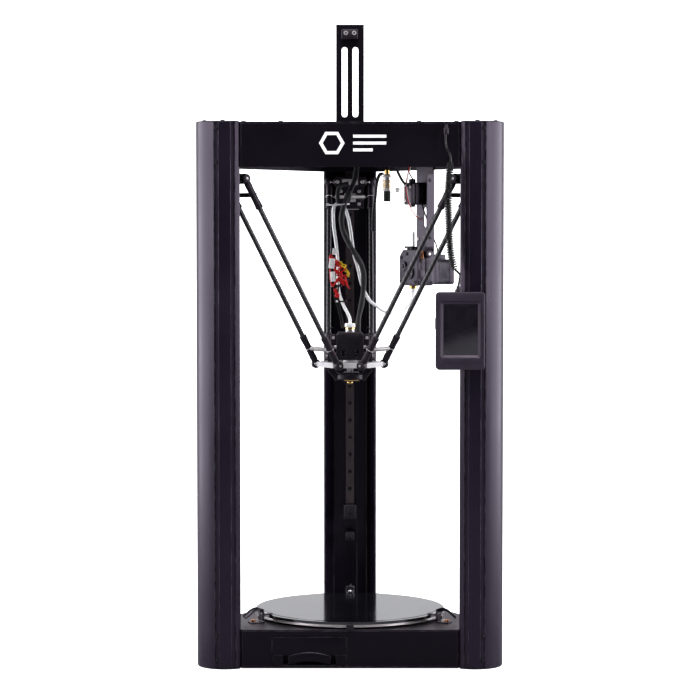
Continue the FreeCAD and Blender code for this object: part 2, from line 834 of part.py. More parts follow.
blades = []
for i in range(7):
    blade = box((2, 12.6), (half + 3, half + 6), (D.fan_z - 0.6, D.fan_z + 0.6), name="blade")
    wheel_turn = FreeCAD.Rotation(FreeCAD.Vector(0, 1, 0), 360.0 * i / 7)
    spun = group(blade)
    centre = FreeCAD.Vector(0, 0, D.fan_z.value)
    spun.Placement = FreeCAD.Placement(centre - wheel_turn.multVec(centre), wheel_turn)
    blades.append(spun)
fan = cut(
    fuse(rod("y", 6, (0, D.fan_z), (half + 2, half + 7)), *blades),
    rod("y", 1.5 + D.running_gap, (0, D.fan_z), (0, 40)),
)
node("hotend_fan", fan)


# ---------------------------------------------------------------- feeder, hung from the right-hand beam

# Drawn facing the rear column's direction (+Y outward), then turned to the beam's own direction.
BEAM_TURN = -60
plate_y = (D.side_apothem - D.sheet * 2 - D.running_gap, D.side_apothem - D.sheet - D.running_gap)
filament_x = -D.filament_along
gear_x = filament_x + 6.4
gear_z = 462.0
body_x = (-36, 13)
body_y = (101, plate_y[0])


def feeder_node(label, obj):
    return node(label, turned(obj, BEAM_TURN))


hanger = fuse(
    box((-32, 12), plate_y, (D.feeder_low + 2, D.top_frame_z + 40)),
    box((10, 12), (plate_y[0] - 10, plate_y[0]), (D.feeder_high + 4, D.top_frame_z - 6)),
)
adjusting_slot = fuse(
    box((-14, -6), (100, 140), (528, 549)),
    rod("y", 4, (-10, 528), (100, 140)),
    rod("y", 4, (-10, 549), (100, 140)),
)
boss_hole = rod("y", 11, (gear_x, gear_z), (100, 140))
feeder_node("feeder_bracket", cut(hanger, adjusting_slot, boss_hole))

body = prism(
    [
        (body_x[0], body_y[0]),
        (body_x[1], body_y[0]),
        (body_x[1], body_y[1]),
        (body_x[0], body_y[1]),
    ],
    D.feeder_low,
    D.feeder_high,
    name="feeder_body",
)
cavities = [
    rod("y", 6.6, (gear_x, gear_z), (104.5, 121)),
    rod("y", 3, (gear_x, gear_z), (120, 130)),
    rod("y", 7, (-20.2, gear_z), (106.4, 113.6)),
    box((-33, -19.4), (106.4, 113.6), (446, 494)),
    rod("z", 1.2, (filament_x, D.filament_out), (440, 500)),
    box((2, 11), (100, 103), (466, 474)),
]
outlet = cut(
    rod("z", 5, (filament_x, D.filament_out), (D.feeder_low - 10, D.feeder_low)),
    rod("z", D.ptfe_radius + 0.5, (filament_x, D.filament_out), (D.feeder_low - 11, D.feeder_low + 1)),
)
lever_pin = rod("y", 1.5, (-23, 449.5), (106, 114))
feeder_node("feeder_housing", fuse(cut(body, *cavities), outlet, lever_pin))

feeder_motor = cut(
    fuse(
        box((gear_x - 17.5, gear_x + 17.5), (plate_y[1], plate_y[1] + 34), (gear_z - 17.5, gear_z + 17.5)),
        rod("y", 11, (gear_x, gear_z), plate_y),
    ),
    rod("y", 2.5 + D.running_gap, (gear_x, gear_z), (plate_y[0] - 1, plate_y[1] + 12)),
)
feeder_node("feeder_motor", feeder_motor)
gear = fuse(
    rod("y", 2.5, (gear_x, gear_z), (106, plate_y[1] + 11)),
    rod("y", 5.4, (gear_x, gear_z), (106, 114)),
)
feeder_node("feeder_gear", gear)
lever = cut(
    fuse(
        box((-25.5, -21.5), (107, 113), (449.5, 497)),
        rod("y", 2.9, (-23, 449.5), (107, 113)),
        rod("y", 5, (-19, gear_z), (107, 113)),
        box((-25.5, -19), (107, 113), (gear_z - 2, gear_z + 2)),
        box((-32, -21.5), (107, 113), (495, 498)),
    ),
    rod("y", 1.5 + D.running_gap, (-23, 449.5), (100, 120)),
)
feeder_node("feeder_lever", lever)

sensor = cut(
    fuse(
        box((-24, -2), (101, plate_y[0]), (556, 587)),
        box((-27, -24), (104, 118), (560, 583)),
    ),
    rod("z", 1.2, (filament_x, D.filament_out), (550, 590)),
)
feeder_node("filament_sensor", sensor)


# ---------------------------------------------------------------- touch screen

screen_x = (D.screen_x - D.screen_half_width, D.screen_x + D.screen_half_width)
screen_z = (D.screen_z - D.screen_half_height, D.screen_z + D.screen_half_height)
window_x = (D.screen_x - 22.5, D.screen_x + 22.5)
window_z = (D.screen_z - 32, D.screen_z + 35)
case = cut(
    box(screen_x, (D.screen_front, D.screen_back), screen_z),
    box(window_x, (D.screen_front - 1, D.screen_front + 2.6), window_z),
)
node("screen_case", case)
node("screen_glass", box(window_x, (D.screen_front + 1, D.screen_front + 2.6), window_z))
pad = turned(box((D.column_half, D.column_half + 5), (184, D.column_centre), (375, 405)), 240)
holder = fuse(
    box((D.screen_x - 22, D.screen_x + 22), (D.screen_back, D.screen_back + 3), (360, 420)),
    box((136, 147), (D.screen_back + 3, -130.8), (375, 405)),
    pad,
)
node("screen_holder", holder)


# ---------------------------------------------------------------- tubes and cables

turn = math.radians(BEAM_TURN)
feed_x = filament_x.value * math.cos(turn) - D.filament_out.value * math.sin(turn)
feed_y = filament_x.value * math.sin(turn) + D.filament_out.value * math.cos(turn)
tube_end = D.hotend_top.value - 10
pipe(
    [
        (feed_x, feed_y, 442),
        (feed_x, feed_y, 432),
        (feed_x - 3, feed_y - 3, 420),
        (75, 54, 408),
        (58, 43, 404),
        (40, 33, 413),
        (26, 26, 430),
        (14, 20, 460),
        (5, 18, 490),
        (0, 17, 528),
        (-6, 17, 548),
        (-14, 17, 556),
        (-22, 17, 549),
        (-22, 16, 528),
        (-18, 14, 480),
        (-15, 9, 440),
        (-7, 3, 418),
        (-1, 0, 404),
        (0, 0, 398),
        (0, 0, tube_end),
    ],
    D.ptfe_radius,
    "ptfe_tube",
)
pipe(
    [
        (5, 60, COVER_LOW - 1.5),
        (4, 42, 625),
        (1, 22, 590),
        (-9, 9, 562),
        (-13, 5, 541),
        (-11, 4, 520),
        (0, 4, 500),
        (10, 4, 484),
        (18, 6, 468),
        (19, 9, 450),
        (15, 11, 420),
        (11, 11, 396),
        (11, 11, 388),
        (11, 11, 378),
    ],
    2.6,
    "cable_loom",
)
pipe(
    [
        (126.5, -131.4, 658),
        (126.3, -140, 654),
        (125.5, -142, 640),
        (129, -143, 615),
        (130, -143, 600),
        (132, -143, 540),
        (134, -144, 490),
        (138, -148, 470),
        (140, -154, 455),
        (140, -155, screen_z[1] + 0.8),
    ],
    2.4,
    "coil_cable",
)


# ---------------------------------------------------------------- export


def export_nodes():
    doc.recompute()
    faults = [obj.Label for obj in doc.Objects if "Invalid" in obj.State or "Error" in obj.State]
    if faults:
        raise RuntimeError(f"objects that did not rebuild: {faults}")
    os.makedirs("parts", exist_ok=True)
    for obj in NODES:
        if obj.Shape.isNull() or not obj.Shape.isValid() or not obj.Shape.Solids:
            raise RuntimeError(f"{obj.Label} has no sound solid")
        obj.Shape.exportStep(f"parts/{obj.Label}.step")
        print(f"{obj.Label:22s} solids {len(obj.Shape.Solids):3d}  volume {obj.Shape.Volume:12.1f}")


export_nodes()
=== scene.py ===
import bisect
import math
import random

import bmesh
import bpy
from mathutils import Matrix, Vector


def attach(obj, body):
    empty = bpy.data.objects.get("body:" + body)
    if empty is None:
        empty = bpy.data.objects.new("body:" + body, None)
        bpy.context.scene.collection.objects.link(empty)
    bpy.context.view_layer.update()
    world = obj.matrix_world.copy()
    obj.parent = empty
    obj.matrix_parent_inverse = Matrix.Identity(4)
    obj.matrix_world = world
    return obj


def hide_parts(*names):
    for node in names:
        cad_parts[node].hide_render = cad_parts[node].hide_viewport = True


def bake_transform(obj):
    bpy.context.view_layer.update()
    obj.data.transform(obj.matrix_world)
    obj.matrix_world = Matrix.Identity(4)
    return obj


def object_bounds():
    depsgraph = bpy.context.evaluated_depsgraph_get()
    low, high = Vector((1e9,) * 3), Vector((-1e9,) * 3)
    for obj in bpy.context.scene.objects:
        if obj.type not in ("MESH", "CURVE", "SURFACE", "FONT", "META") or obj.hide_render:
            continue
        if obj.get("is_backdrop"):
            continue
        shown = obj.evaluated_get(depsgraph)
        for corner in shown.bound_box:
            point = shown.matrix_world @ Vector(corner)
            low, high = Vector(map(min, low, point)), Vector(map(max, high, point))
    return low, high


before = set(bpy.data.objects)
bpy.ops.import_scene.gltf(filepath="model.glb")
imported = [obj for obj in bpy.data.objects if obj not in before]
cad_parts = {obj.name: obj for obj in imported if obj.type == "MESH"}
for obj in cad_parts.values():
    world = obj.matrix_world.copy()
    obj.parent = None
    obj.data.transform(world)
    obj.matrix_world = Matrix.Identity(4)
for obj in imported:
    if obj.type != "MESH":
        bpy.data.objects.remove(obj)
cad_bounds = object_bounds()
COLUMNS = (("rear", 0), ("left", 120), ("right", 240))
MM = 0.001
VIOLET = (0.97, 0.84, 1.0, 1)


def rotation(degrees, axis):
    return Matrix.Rotation(math.radians(degrees), 4, axis)


def upright(x, y, z):
    """From a drawing in the (x, y) plane to a standing plate whose outline is (x, z), at the given place."""
    return Matrix.Translation((x, y, z)) @ rotation(90, "X")


def circle(x, y, radius, steps=28, way=-1):
    """Points round a circle. It runs clockwise, as the holes of a plate do, unless way is 1."""
    angles = [way * 2 * math.pi * i / steps for i in range(steps)]
    return [(x + radius * math.cos(a), y + radius * math.sin(a)) for a in angles]


# ---- material nodes


class Shader:
    """A material's node tree with short calls for the nodes used here."""

    def __init__(self, name):
        self.material = bpy.data.materials.new(name)
        self.material.use_nodes = True
        self.tree = self.material.node_tree
        self.bsdf = self.tree.nodes["Principled BSDF"]
        self.coordinates = self.tree.nodes.new("ShaderNodeTexCoord")
        self.place = self.coordinates.outputs["Object"]
        self.around = self.coordinates.outputs["UV"]

    def node(self, kind, inputs=None, **settings):
        made = self.tree.nodes.new(kind)
        for key, value in settings.items():
            setattr(made, key, value)
        for key, value in (inputs or {}).items():
            self.feed(made.inputs[key], value)
        return made

    def feed(self, socket, value):
        if isinstance(value, bpy.types.NodeSocket):
            self.tree.links.new(value, socket)
        elif hasattr(socket.default_value, "__len__") and not hasattr(value, "__len__"):
            socket.default_value = (value, value, value, 1)[: len(socket.default_value)]
        elif hasattr(value, "__len__") and len(value) == 3 and len(socket.default_value) == 4:
            socket.default_value = (*value, 1)
        else:
            socket.default_value = value

    def set(self, **values):
        for key, value in values.items():
            self.feed(self.bsdf.inputs[key.replace("_", " ")], value)

    def stretched(self, scale, source=None):
        mapping = self.node("ShaderNodeMapping", {"Vector": source or self.place, "Scale": scale})
        return mapping.outputs[0]

    def noise(self, scale, detail=3, vector=None, distortion=0.0):
        inputs = {
            "Vector": vector or self.place, "Scale": scale, "Detail": detail, "Distortion": distortion
        }
        return self.node("ShaderNodeTexNoise", inputs).outputs[0]

    def cells(self, scale):
        return self.node("ShaderNodeTexVoronoi", {"Vector": self.place, "Scale": scale}).outputs["Distance"]

    def maths(self, operation, a, b=0.0):
        made = self.node("ShaderNodeMath", operation=operation)
        self.feed(made.inputs[0], a)
        self.feed(made.inputs[1], b)
        return made.outputs[0]

    def between(self, value, low, high, to_low=0.0, to_high=1.0):
        inputs = {"Value": value, "From Min": low, "From Max": high, "To Min": to_low, "To Max": to_high}
        return self.node("ShaderNodeMapRange", inputs).outputs[0]

    def mix(self, share, a, b):
        made = self.node("ShaderNodeMix", data_type="RGBA")
        self.feed(made.inputs[0], share)
        self.feed(made.inputs[6], a)
        self.feed(made.inputs[7], b)
        return made.outputs[2]

    def bump(self, height, strength, distance, under=None):
        inputs = {"Height": height, "Strength": strength, "Distance": distance}
        if under is not None:
            inputs["Normal"] = under
        return self.node("ShaderNodeBump", inputs).outputs[0]

    def rounded(self, radius):
        """A normal that rounds every sharp edge by the radius."""
        return self.node("ShaderNodeBevel", {"Radius": radius}, samples=4).outputs[0]

    def edges(self, soft):
        """1 on the part's edges, 0 on its flats."""
        flat = self.node("ShaderNodeNewGeometry").outputs["Normal"]
        dot = self.node("ShaderNodeVectorMath", operation="DOT_PRODUCT")
        self.feed(dot.inputs[0], soft)
        self.feed(dot.inputs[1], flat)
        return self.between(dot.outputs["Value"], 0.995, 0.93)

    def upward(self):
        """1 where the surface faces up, where dust settles."""
        normal = self.node("ShaderNodeNewGeometry").outputs["Normal"]
        parts = self.node("ShaderNodeSeparateXYZ", {0: normal})
        return self.between(parts.outputs[2], 0.55, 1.0)


def painted(
    name, colour, rough=0.38, grain=0.12, grain_scale=1500, wear=0.5, bare=(0.30, 0.30, 0.33), dust=0.05,
    shine_level=0.5, edge=0.0009,
):
    """Coated or anodised metal: fine grain, uneven sheen, edges rubbed brighter, a little dust on top."""
    s = Shader(name)
    broad = s.noise(9, 4)
    fine = s.noise(grain_scale, 2)
    drawn = s.noise(1, 3, s.stretched((420, 420, 3)))
    tone = s.mix(s.between(broad, 0.3, 0.7, 0.0, 0.5), colour, [c * 1.35 + 0.001 for c in colour])
    tone = s.mix(s.maths("MULTIPLY", s.upward(), dust), tone, (0.45, 0.44, 0.46))
    soft = s.rounded(edge)
    rubbed = s.maths("MULTIPLY", s.edges(soft), s.between(s.noise(60, 5), 0.42, 0.62))
    tone = s.mix(s.maths("MULTIPLY", rubbed, wear), tone, bare)
    shine = s.between(
        s.maths("ADD", broad, s.maths("MULTIPLY", drawn, 0.35)), 0.35, 1.0, rough - 0.07, rough + 0.09
    )
    normal = s.bump(fine, grain, 0.0002, s.bump(drawn, 0.04, 0.0002, soft))
    s.set(Base_Color=tone, Roughness=shine, Metallic=0.2, Normal=normal, Specular_IOR_Level=shine_level)
    s.set(Specular_Tint=VIOLET)
    return s.material


def metal(
    name, colour, rough=0.28, lines=(8, 8, 900), line_strength=0.12, stain=(0.6, 0.58, 0.55), stains=0.15,
    metallic=1.0,
):
    """Bare metal with tool lines, smudges and slightly brighter edges."""
    s = Shader(name)
    lined = s.noise(1, 3, s.stretched(lines))
    smudge = s.noise(45, 5, distortion=0.6)
    tone = s.mix(
        s.maths("MULTIPLY", s.between(smudge, 0.45, 0.75), stains), colour,
        [c * k for c, k in zip(colour, stain)]
    )
    soft = s.rounded(0.0004)
    tone = s.mix(s.maths("MULTIPLY", s.edges(soft), 0.5), tone, [min(1, c * 1.25) for c in colour])
    shine = s.between(
        s.maths("ADD", smudge, s.maths("MULTIPLY", lined, 0.5)), 0.4, 1.1, rough - 0.06, rough + 0.14
    )
    s.set(
        Base_Color=tone, Roughness=shine, Metallic=metallic,
        Normal=s.bump(lined, line_strength, 0.0001, soft)
    )
    return s.material


def plastic(name, colour, rough=0.5, grain=0.3, grain_scale=1800, gloss=False, dust=0.04):
    """Moulded plastic: spark-eroded grain, soft sheen variation, faint scuffs."""
    s = Shader(name)
    pits = s.cells(grain_scale)
    broad = s.noise(22, 4)
    scuff = s.noise(1, 5, s.stretched((130, 60, 240)), distortion=1.5)
    tone = s.mix(s.between(broad, 0.35, 0.7, 0, 0.6), colour, [c * 1.5 + 0.002 for c in colour])
    tone = s.mix(s.maths("MULTIPLY", s.between(scuff, 0.66, 0.8), 0.10), tone, (0.35, 0.35, 0.36))
    tone = s.mix(s.maths("MULTIPLY", s.upward(), dust), tone, (0.5, 0.49, 0.5))
    soft = s.rounded(0.0007)
    tone = s.mix(s.maths("MULTIPLY", s.edges(soft), 0.10), tone, (0.4, 0.4, 0.42))
    shine = s.between(
        s.maths("ADD", broad, s.maths("MULTIPLY", scuff, 0.4)), 0.4, 1.0, rough - 0.06, rough + 0.1
    )
    s.set(Base_Color=tone, Roughness=shine, Normal=s.bump(pits, 0.02 if gloss else grain, 0.0001, soft))
    s.set(Specular_Tint=VIOLET)
    if gloss:
        s.set(Coat_Weight=0.6, Coat_Roughness=0.08)
    return s.material


def carbon(name):
    """Twill carbon cloth under clear resin. U runs along the tube, V round it, both in tow widths."""
    s = Shader(name)
    split = s.node("ShaderNodeSeparateXYZ", {0: s.around})
    u, v = split.outputs[0], split.outputs[1]
    step = s.maths("FLOOR", v)
    phase = s.maths("FRACT", s.maths("MULTIPLY", s.maths("ADD", u, step), 0.25))
    over = s.maths("GREATER_THAN", phase, 0.5)
    along = s.maths("SINE", s.maths("MULTIPLY", phase, 6.283))
    thread = s.noise(1, 2, s.stretched((3, 34, 1), s.around))
    dark = s.mix(thread, (0.006, 0.005, 0.007), (0.014, 0.012, 0.016))
    light = s.mix(thread, (0.018, 0.015, 0.021), (0.045, 0.039, 0.050))
    s.set(
        Base_Color=s.mix(over, dark, light),
        Roughness=s.between(over, 0, 1, 0.48, 0.34),
        Metallic=0.2,
        Coat_Weight=0.55,
        Coat_Roughness=0.2,
        Normal=s.bump(along, 0.35, 0.0003, s.bump(thread, 0.1, 0.0001)),
    )
    return s.material


def braid(name, colour=(0.004, 0.004, 0.005), light=(0.034, 0.031, 0.038)):
    """Open monofilament braid: two crossing sets of strands. U along, V round, both in strand widths."""
    s = Shader(name)
    split = s.node("ShaderNodeSeparateXYZ", {0: s.around})
    u, v = split.outputs[0], split.outputs[1]
    one = s.maths("ABSOLUTE", s.maths("SINE", s.maths("MULTIPLY", s.maths("ADD", u, v), 3.1416)))
    two = s.maths("ABSOLUTE", s.maths("SINE", s.maths("MULTIPLY", s.maths("SUBTRACT", u, v), 3.1416)))
    weave = s.maths("MAXIMUM", one, two)
    fray = s.noise(5, 3, s.around)
    tone = s.mix(
        s.between(s.maths("ADD", weave, s.maths("MULTIPLY", fray, 0.2)), 0.55, 1.15), colour, light
    )
    s.set(Base_Color=tone, Roughness=0.42, Sheen_Weight=0.05, Normal=s.bump(weave, 0.8, 0.0008))
    return s.material


def skin(name, colour, rough=0.35, clear=0.0):
    """Extruded tube or wire jacket: waxy, slightly uneven, with faint draw lines along it."""
    s = Shader(name)
    drawn = s.noise(1, 3, s.stretched((0.6, 14, 1), s.around))
    patch = s.noise(70, 3)
    tone = s.mix(s.between(patch, 0.35, 0.7, 0, 0.35), colour, [c * 0.82 for c in colour])
    s.set(
        Base_Color=tone,
        Roughness=s.between(drawn, 0.3, 0.7, rough - 0.08, rough + 0.1),
        Subsurface_Weight=clear,
        Subsurface_Radius=(0.003, 0.003, 0.003),
        Normal=s.bump(drawn, 0.12, 0.0002),
    )
    s.bsdf.inputs["Subsurface Scale"].default_value = 1.0
    return s.material


def rubber(name, colour=(0.018, 0.018, 0.019)):
    s = Shader(name)
    speck = s.noise(700, 4)
    bloom = s.noise(30, 4)
    tone = s.mix(s.between(bloom, 0.4, 0.75, 0, 0.5), colour, [c * 2.6 + 0.01 for c in colour])
    s.set(
        Base_Color=tone, Roughness=s.between(bloom, 0.3, 0.7, 0.62, 0.82), Normal=s.bump(speck, 0.3, 0.0002)
    )
    return s.material


def bed_coating(name):
    """Dark coated glass: a fine pattern of raised grains under a satin sheen, with faint print marks."""
    s = Shader(name)
    grains = s.cells(900)
    marks = s.noise(14, 6, distortion=1.2)
    ring = s.node(
        "ShaderNodeTexWave", {"Vector": s.place, "Scale": 60}, wave_type="RINGS", rings_direction="Z"
    ).outputs[1]
    tone = s.mix(s.between(grains, 0.1, 0.5), (0.016, 0.017, 0.019), (0.007, 0.008, 0.009))
    tone = s.mix(s.maths("MULTIPLY", s.between(marks, 0.5, 0.8), 0.12), tone, (0.06, 0.066, 0.066))
    normal = s.bump(grains, 0.05, 0.0001, s.bump(ring, 0.01, 0.0001))
    s.set(
        Base_Color=tone, Roughness=s.between(marks, 0.3, 0.75, 0.07, 0.17), Normal=normal,
        Coat_Weight=0.5, Coat_Roughness=0.12, Specular_IOR_Level=0.7,
    )
    return s.material


def window(name):
    """Switched-off display behind glossy cover glass: near-black with a violet coating and finger smears."""
    s = Shader(name)
    smear = s.noise(40, 5, distortion=2.0)
    tone = s.mix(s.between(smear, 0.3, 0.8), (0.010, 0.008, 0.013), (0.020, 0.017, 0.025))
    s.set(
        Base_Color=tone, Roughness=s.between(smear, 0.4, 0.75, 0.06, 0.22), Coat_Weight=1.0,
        Coat_Roughness=s.between(smear, 0.35, 0.8, 0.02, 0.12), Specular_IOR_Level=0.6,
    )
    return s.material


MATERIAL = {
    "column": painted(
        "column_anodised", (0.012, 0.009, 0.018), rough=0.31, grain=0.08, wear=0.35, dust=0.02, edge=0.0011
    ),
    "sheet": painted(
        "sheet_powder", (0.005, 0.0035, 0.007), rough=0.38, grain=0.30, grain_scale=1100, wear=0.25,
        shine_level=0.32
    ),
    "top_sheet": painted(
        "top_sheet_powder", (0.010, 0.008, 0.012), rough=0.36, grain=0.25, grain_scale=1100, wear=0.25
    ),
    "clip_paint": painted("clip_paint", (0.018, 0.017, 0.022), rough=0.3, wear=0.8),
    "hanger": painted("hanger_paint", (0.036, 0.033, 0.044), rough=0.4, grain=0.25, wear=0.4),
    "motor_paint": painted("motor_paint", (0.034, 0.032, 0.041), rough=0.42, grain=0.2, wear=0.5),
    "rail": metal("rail_ground", (0.125, 0.105, 0.11), rough=0.3, lines=(500, 500, 4), stains=0.5),
    "block": metal("block_ground", (0.38, 0.36, 0.36), rough=0.26, lines=(4, 4, 700), stains=0.3),
    "chrome": metal("polished_steel", (0.78, 0.78, 0.79), rough=0.12, line_strength=0.03, stains=0.1),
    "zinc": metal("zinc_steel", (0.62, 0.59, 0.60), rough=0.3, stains=0.3, metallic=0.7),
    "black_steel": metal("black_steel", (0.045, 0.044, 0.05), rough=0.34, stains=0.3),
    "aluminium": metal(
        "blasted_aluminium", (0.56, 0.54, 0.56), rough=0.5, lines=(300, 300, 300), stains=0.1, metallic=0.15
    ),
    "turned": metal("turned_aluminium", (0.70, 0.70, 0.72), rough=0.25, lines=(5, 5, 1200)),
    "brass": metal(
        "turned_brass", (0.80, 0.56, 0.22), rough=0.24, lines=(5, 5, 1200), stain=(0.7, 0.55, 0.4),
        stains=0.4
    ),
    "copper": metal("copper_wire", (0.75, 0.36, 0.19), rough=0.25, stain=(0.6, 0.4, 0.3), stains=0.4),
    "black_plastic": plastic("moulded_black", (0.006, 0.005, 0.008), rough=0.42, grain=0.2),
    "shell_plastic": plastic("screen_shell_black", (0.022, 0.018, 0.027), rough=0.4, grain=0.2),
    "feeder_plastic": plastic("feeder_grey", (0.036, 0.033, 0.044), rough=0.5),
    "white_plastic": plastic("connector_white", (0.90, 0.90, 0.90), rough=0.4, dust=0.0),
    "red_gloss": plastic("rocker_red", (0.42, 0.02, 0.015), rough=0.25, gloss=True),
    "carbon": carbon("carbon_twill"),
    "braid": braid("loom_braid"),
    "ptfe": skin("ptfe_white", (0.95, 0.95, 0.96), rough=0.3, clear=0.25),
    "jacket": skin("black_jacket", (0.007, 0.006, 0.008), rough=0.27),
    "red_wire": skin("red_wire", (0.62, 0.012, 0.012), rough=0.36),
    "yellow_wire": skin("yellow_wire", (0.80, 0.55, 0.03), rough=0.36),
    "white_wire": skin("white_wire", (0.8, 0.8, 0.8), rough=0.36),
    "rubber": rubber("moulded_rubber"),
    "belt": rubber("belt_rubber", (0.012, 0.012, 0.012)),
    "bed": bed_coating("bed_coating"),
    "window": window("display_window"),
    "print_white": plastic("printed_white", (0.86, 0.86, 0.86), rough=0.45, dust=0.0),
}


# ---- mesh building

AXES = {
    "x": Matrix(((0, 0, 1), (1, 0, 0), (0, 1, 0))),
    "y": Matrix(((1, 0, 0), (0, 0, 1), (0, -1, 0))),
    "z": Matrix.Identity(3),
}


def smooth_path(points, per_span=8):
    """A Catmull-Rom curve through the points."""
    pts = [Vector(p) for p in points]
    pts = [pts[0] * 2 - pts[1]] + pts + [pts[-1] * 2 - pts[-2]]
    path = []
    for a, b, c, d in zip(pts, pts[1:], pts[2:], pts[3:]):
        for i in range(per_span):
            t = i / per_span
            path.append(
                0.5 * (
                    (2 * b) + (c - a) * t + (
                        2 * a - 5 * b + 4 * c - d
                    ) * t * t + (3 * b - a - 3 * c + d) * t**3
                )
            )
    path.append(pts[-2])
    return path


def coil_path(points, radius, turns, per_turn=14, lead=1.0):
    """A helix of the given radius wound round a smooth path."""
    path = smooth_path(points, 12)
    count = int(turns * per_turn)
    frames = list(moving_frames(path))
    reach = [0.0]
    for a, b in zip(path, path[1:]):
        reach.append(reach[-1] + (b - a).length)
    coil = []
    for i in range(count + 1):
        wanted = reach[-1] * i / count
        k = max(0, min(bisect.bisect_right(reach, wanted) - 1, len(path) - 2))
        t = (wanted - reach[k]) / (reach[k + 1] - reach[k])
        centre = path[k].lerp(path[k + 1], t)
        side, up = frames[k]
        angle = 2 * math.pi * turns * i / count
        swell = radius * min(1.0, i / (per_turn * lead), (count - i) / (per_turn * lead))
        coil.append(centre + side * math.cos(angle) * swell + up * math.sin(angle) * swell)
    return coil


def moving_frames(path):
    """Two cross directions at every point of a path, carried along it without twisting."""
    side = None
    for i in range(len(path)):
        along = (path[min(i + 1, len(path) - 1)] - path[max(i - 1, 0)]).normalized()
        if side is None:
            side = along.orthogonal().normalized()
        side = (side - along * side.dot(along)).normalized()
        yield side, along.cross(side)


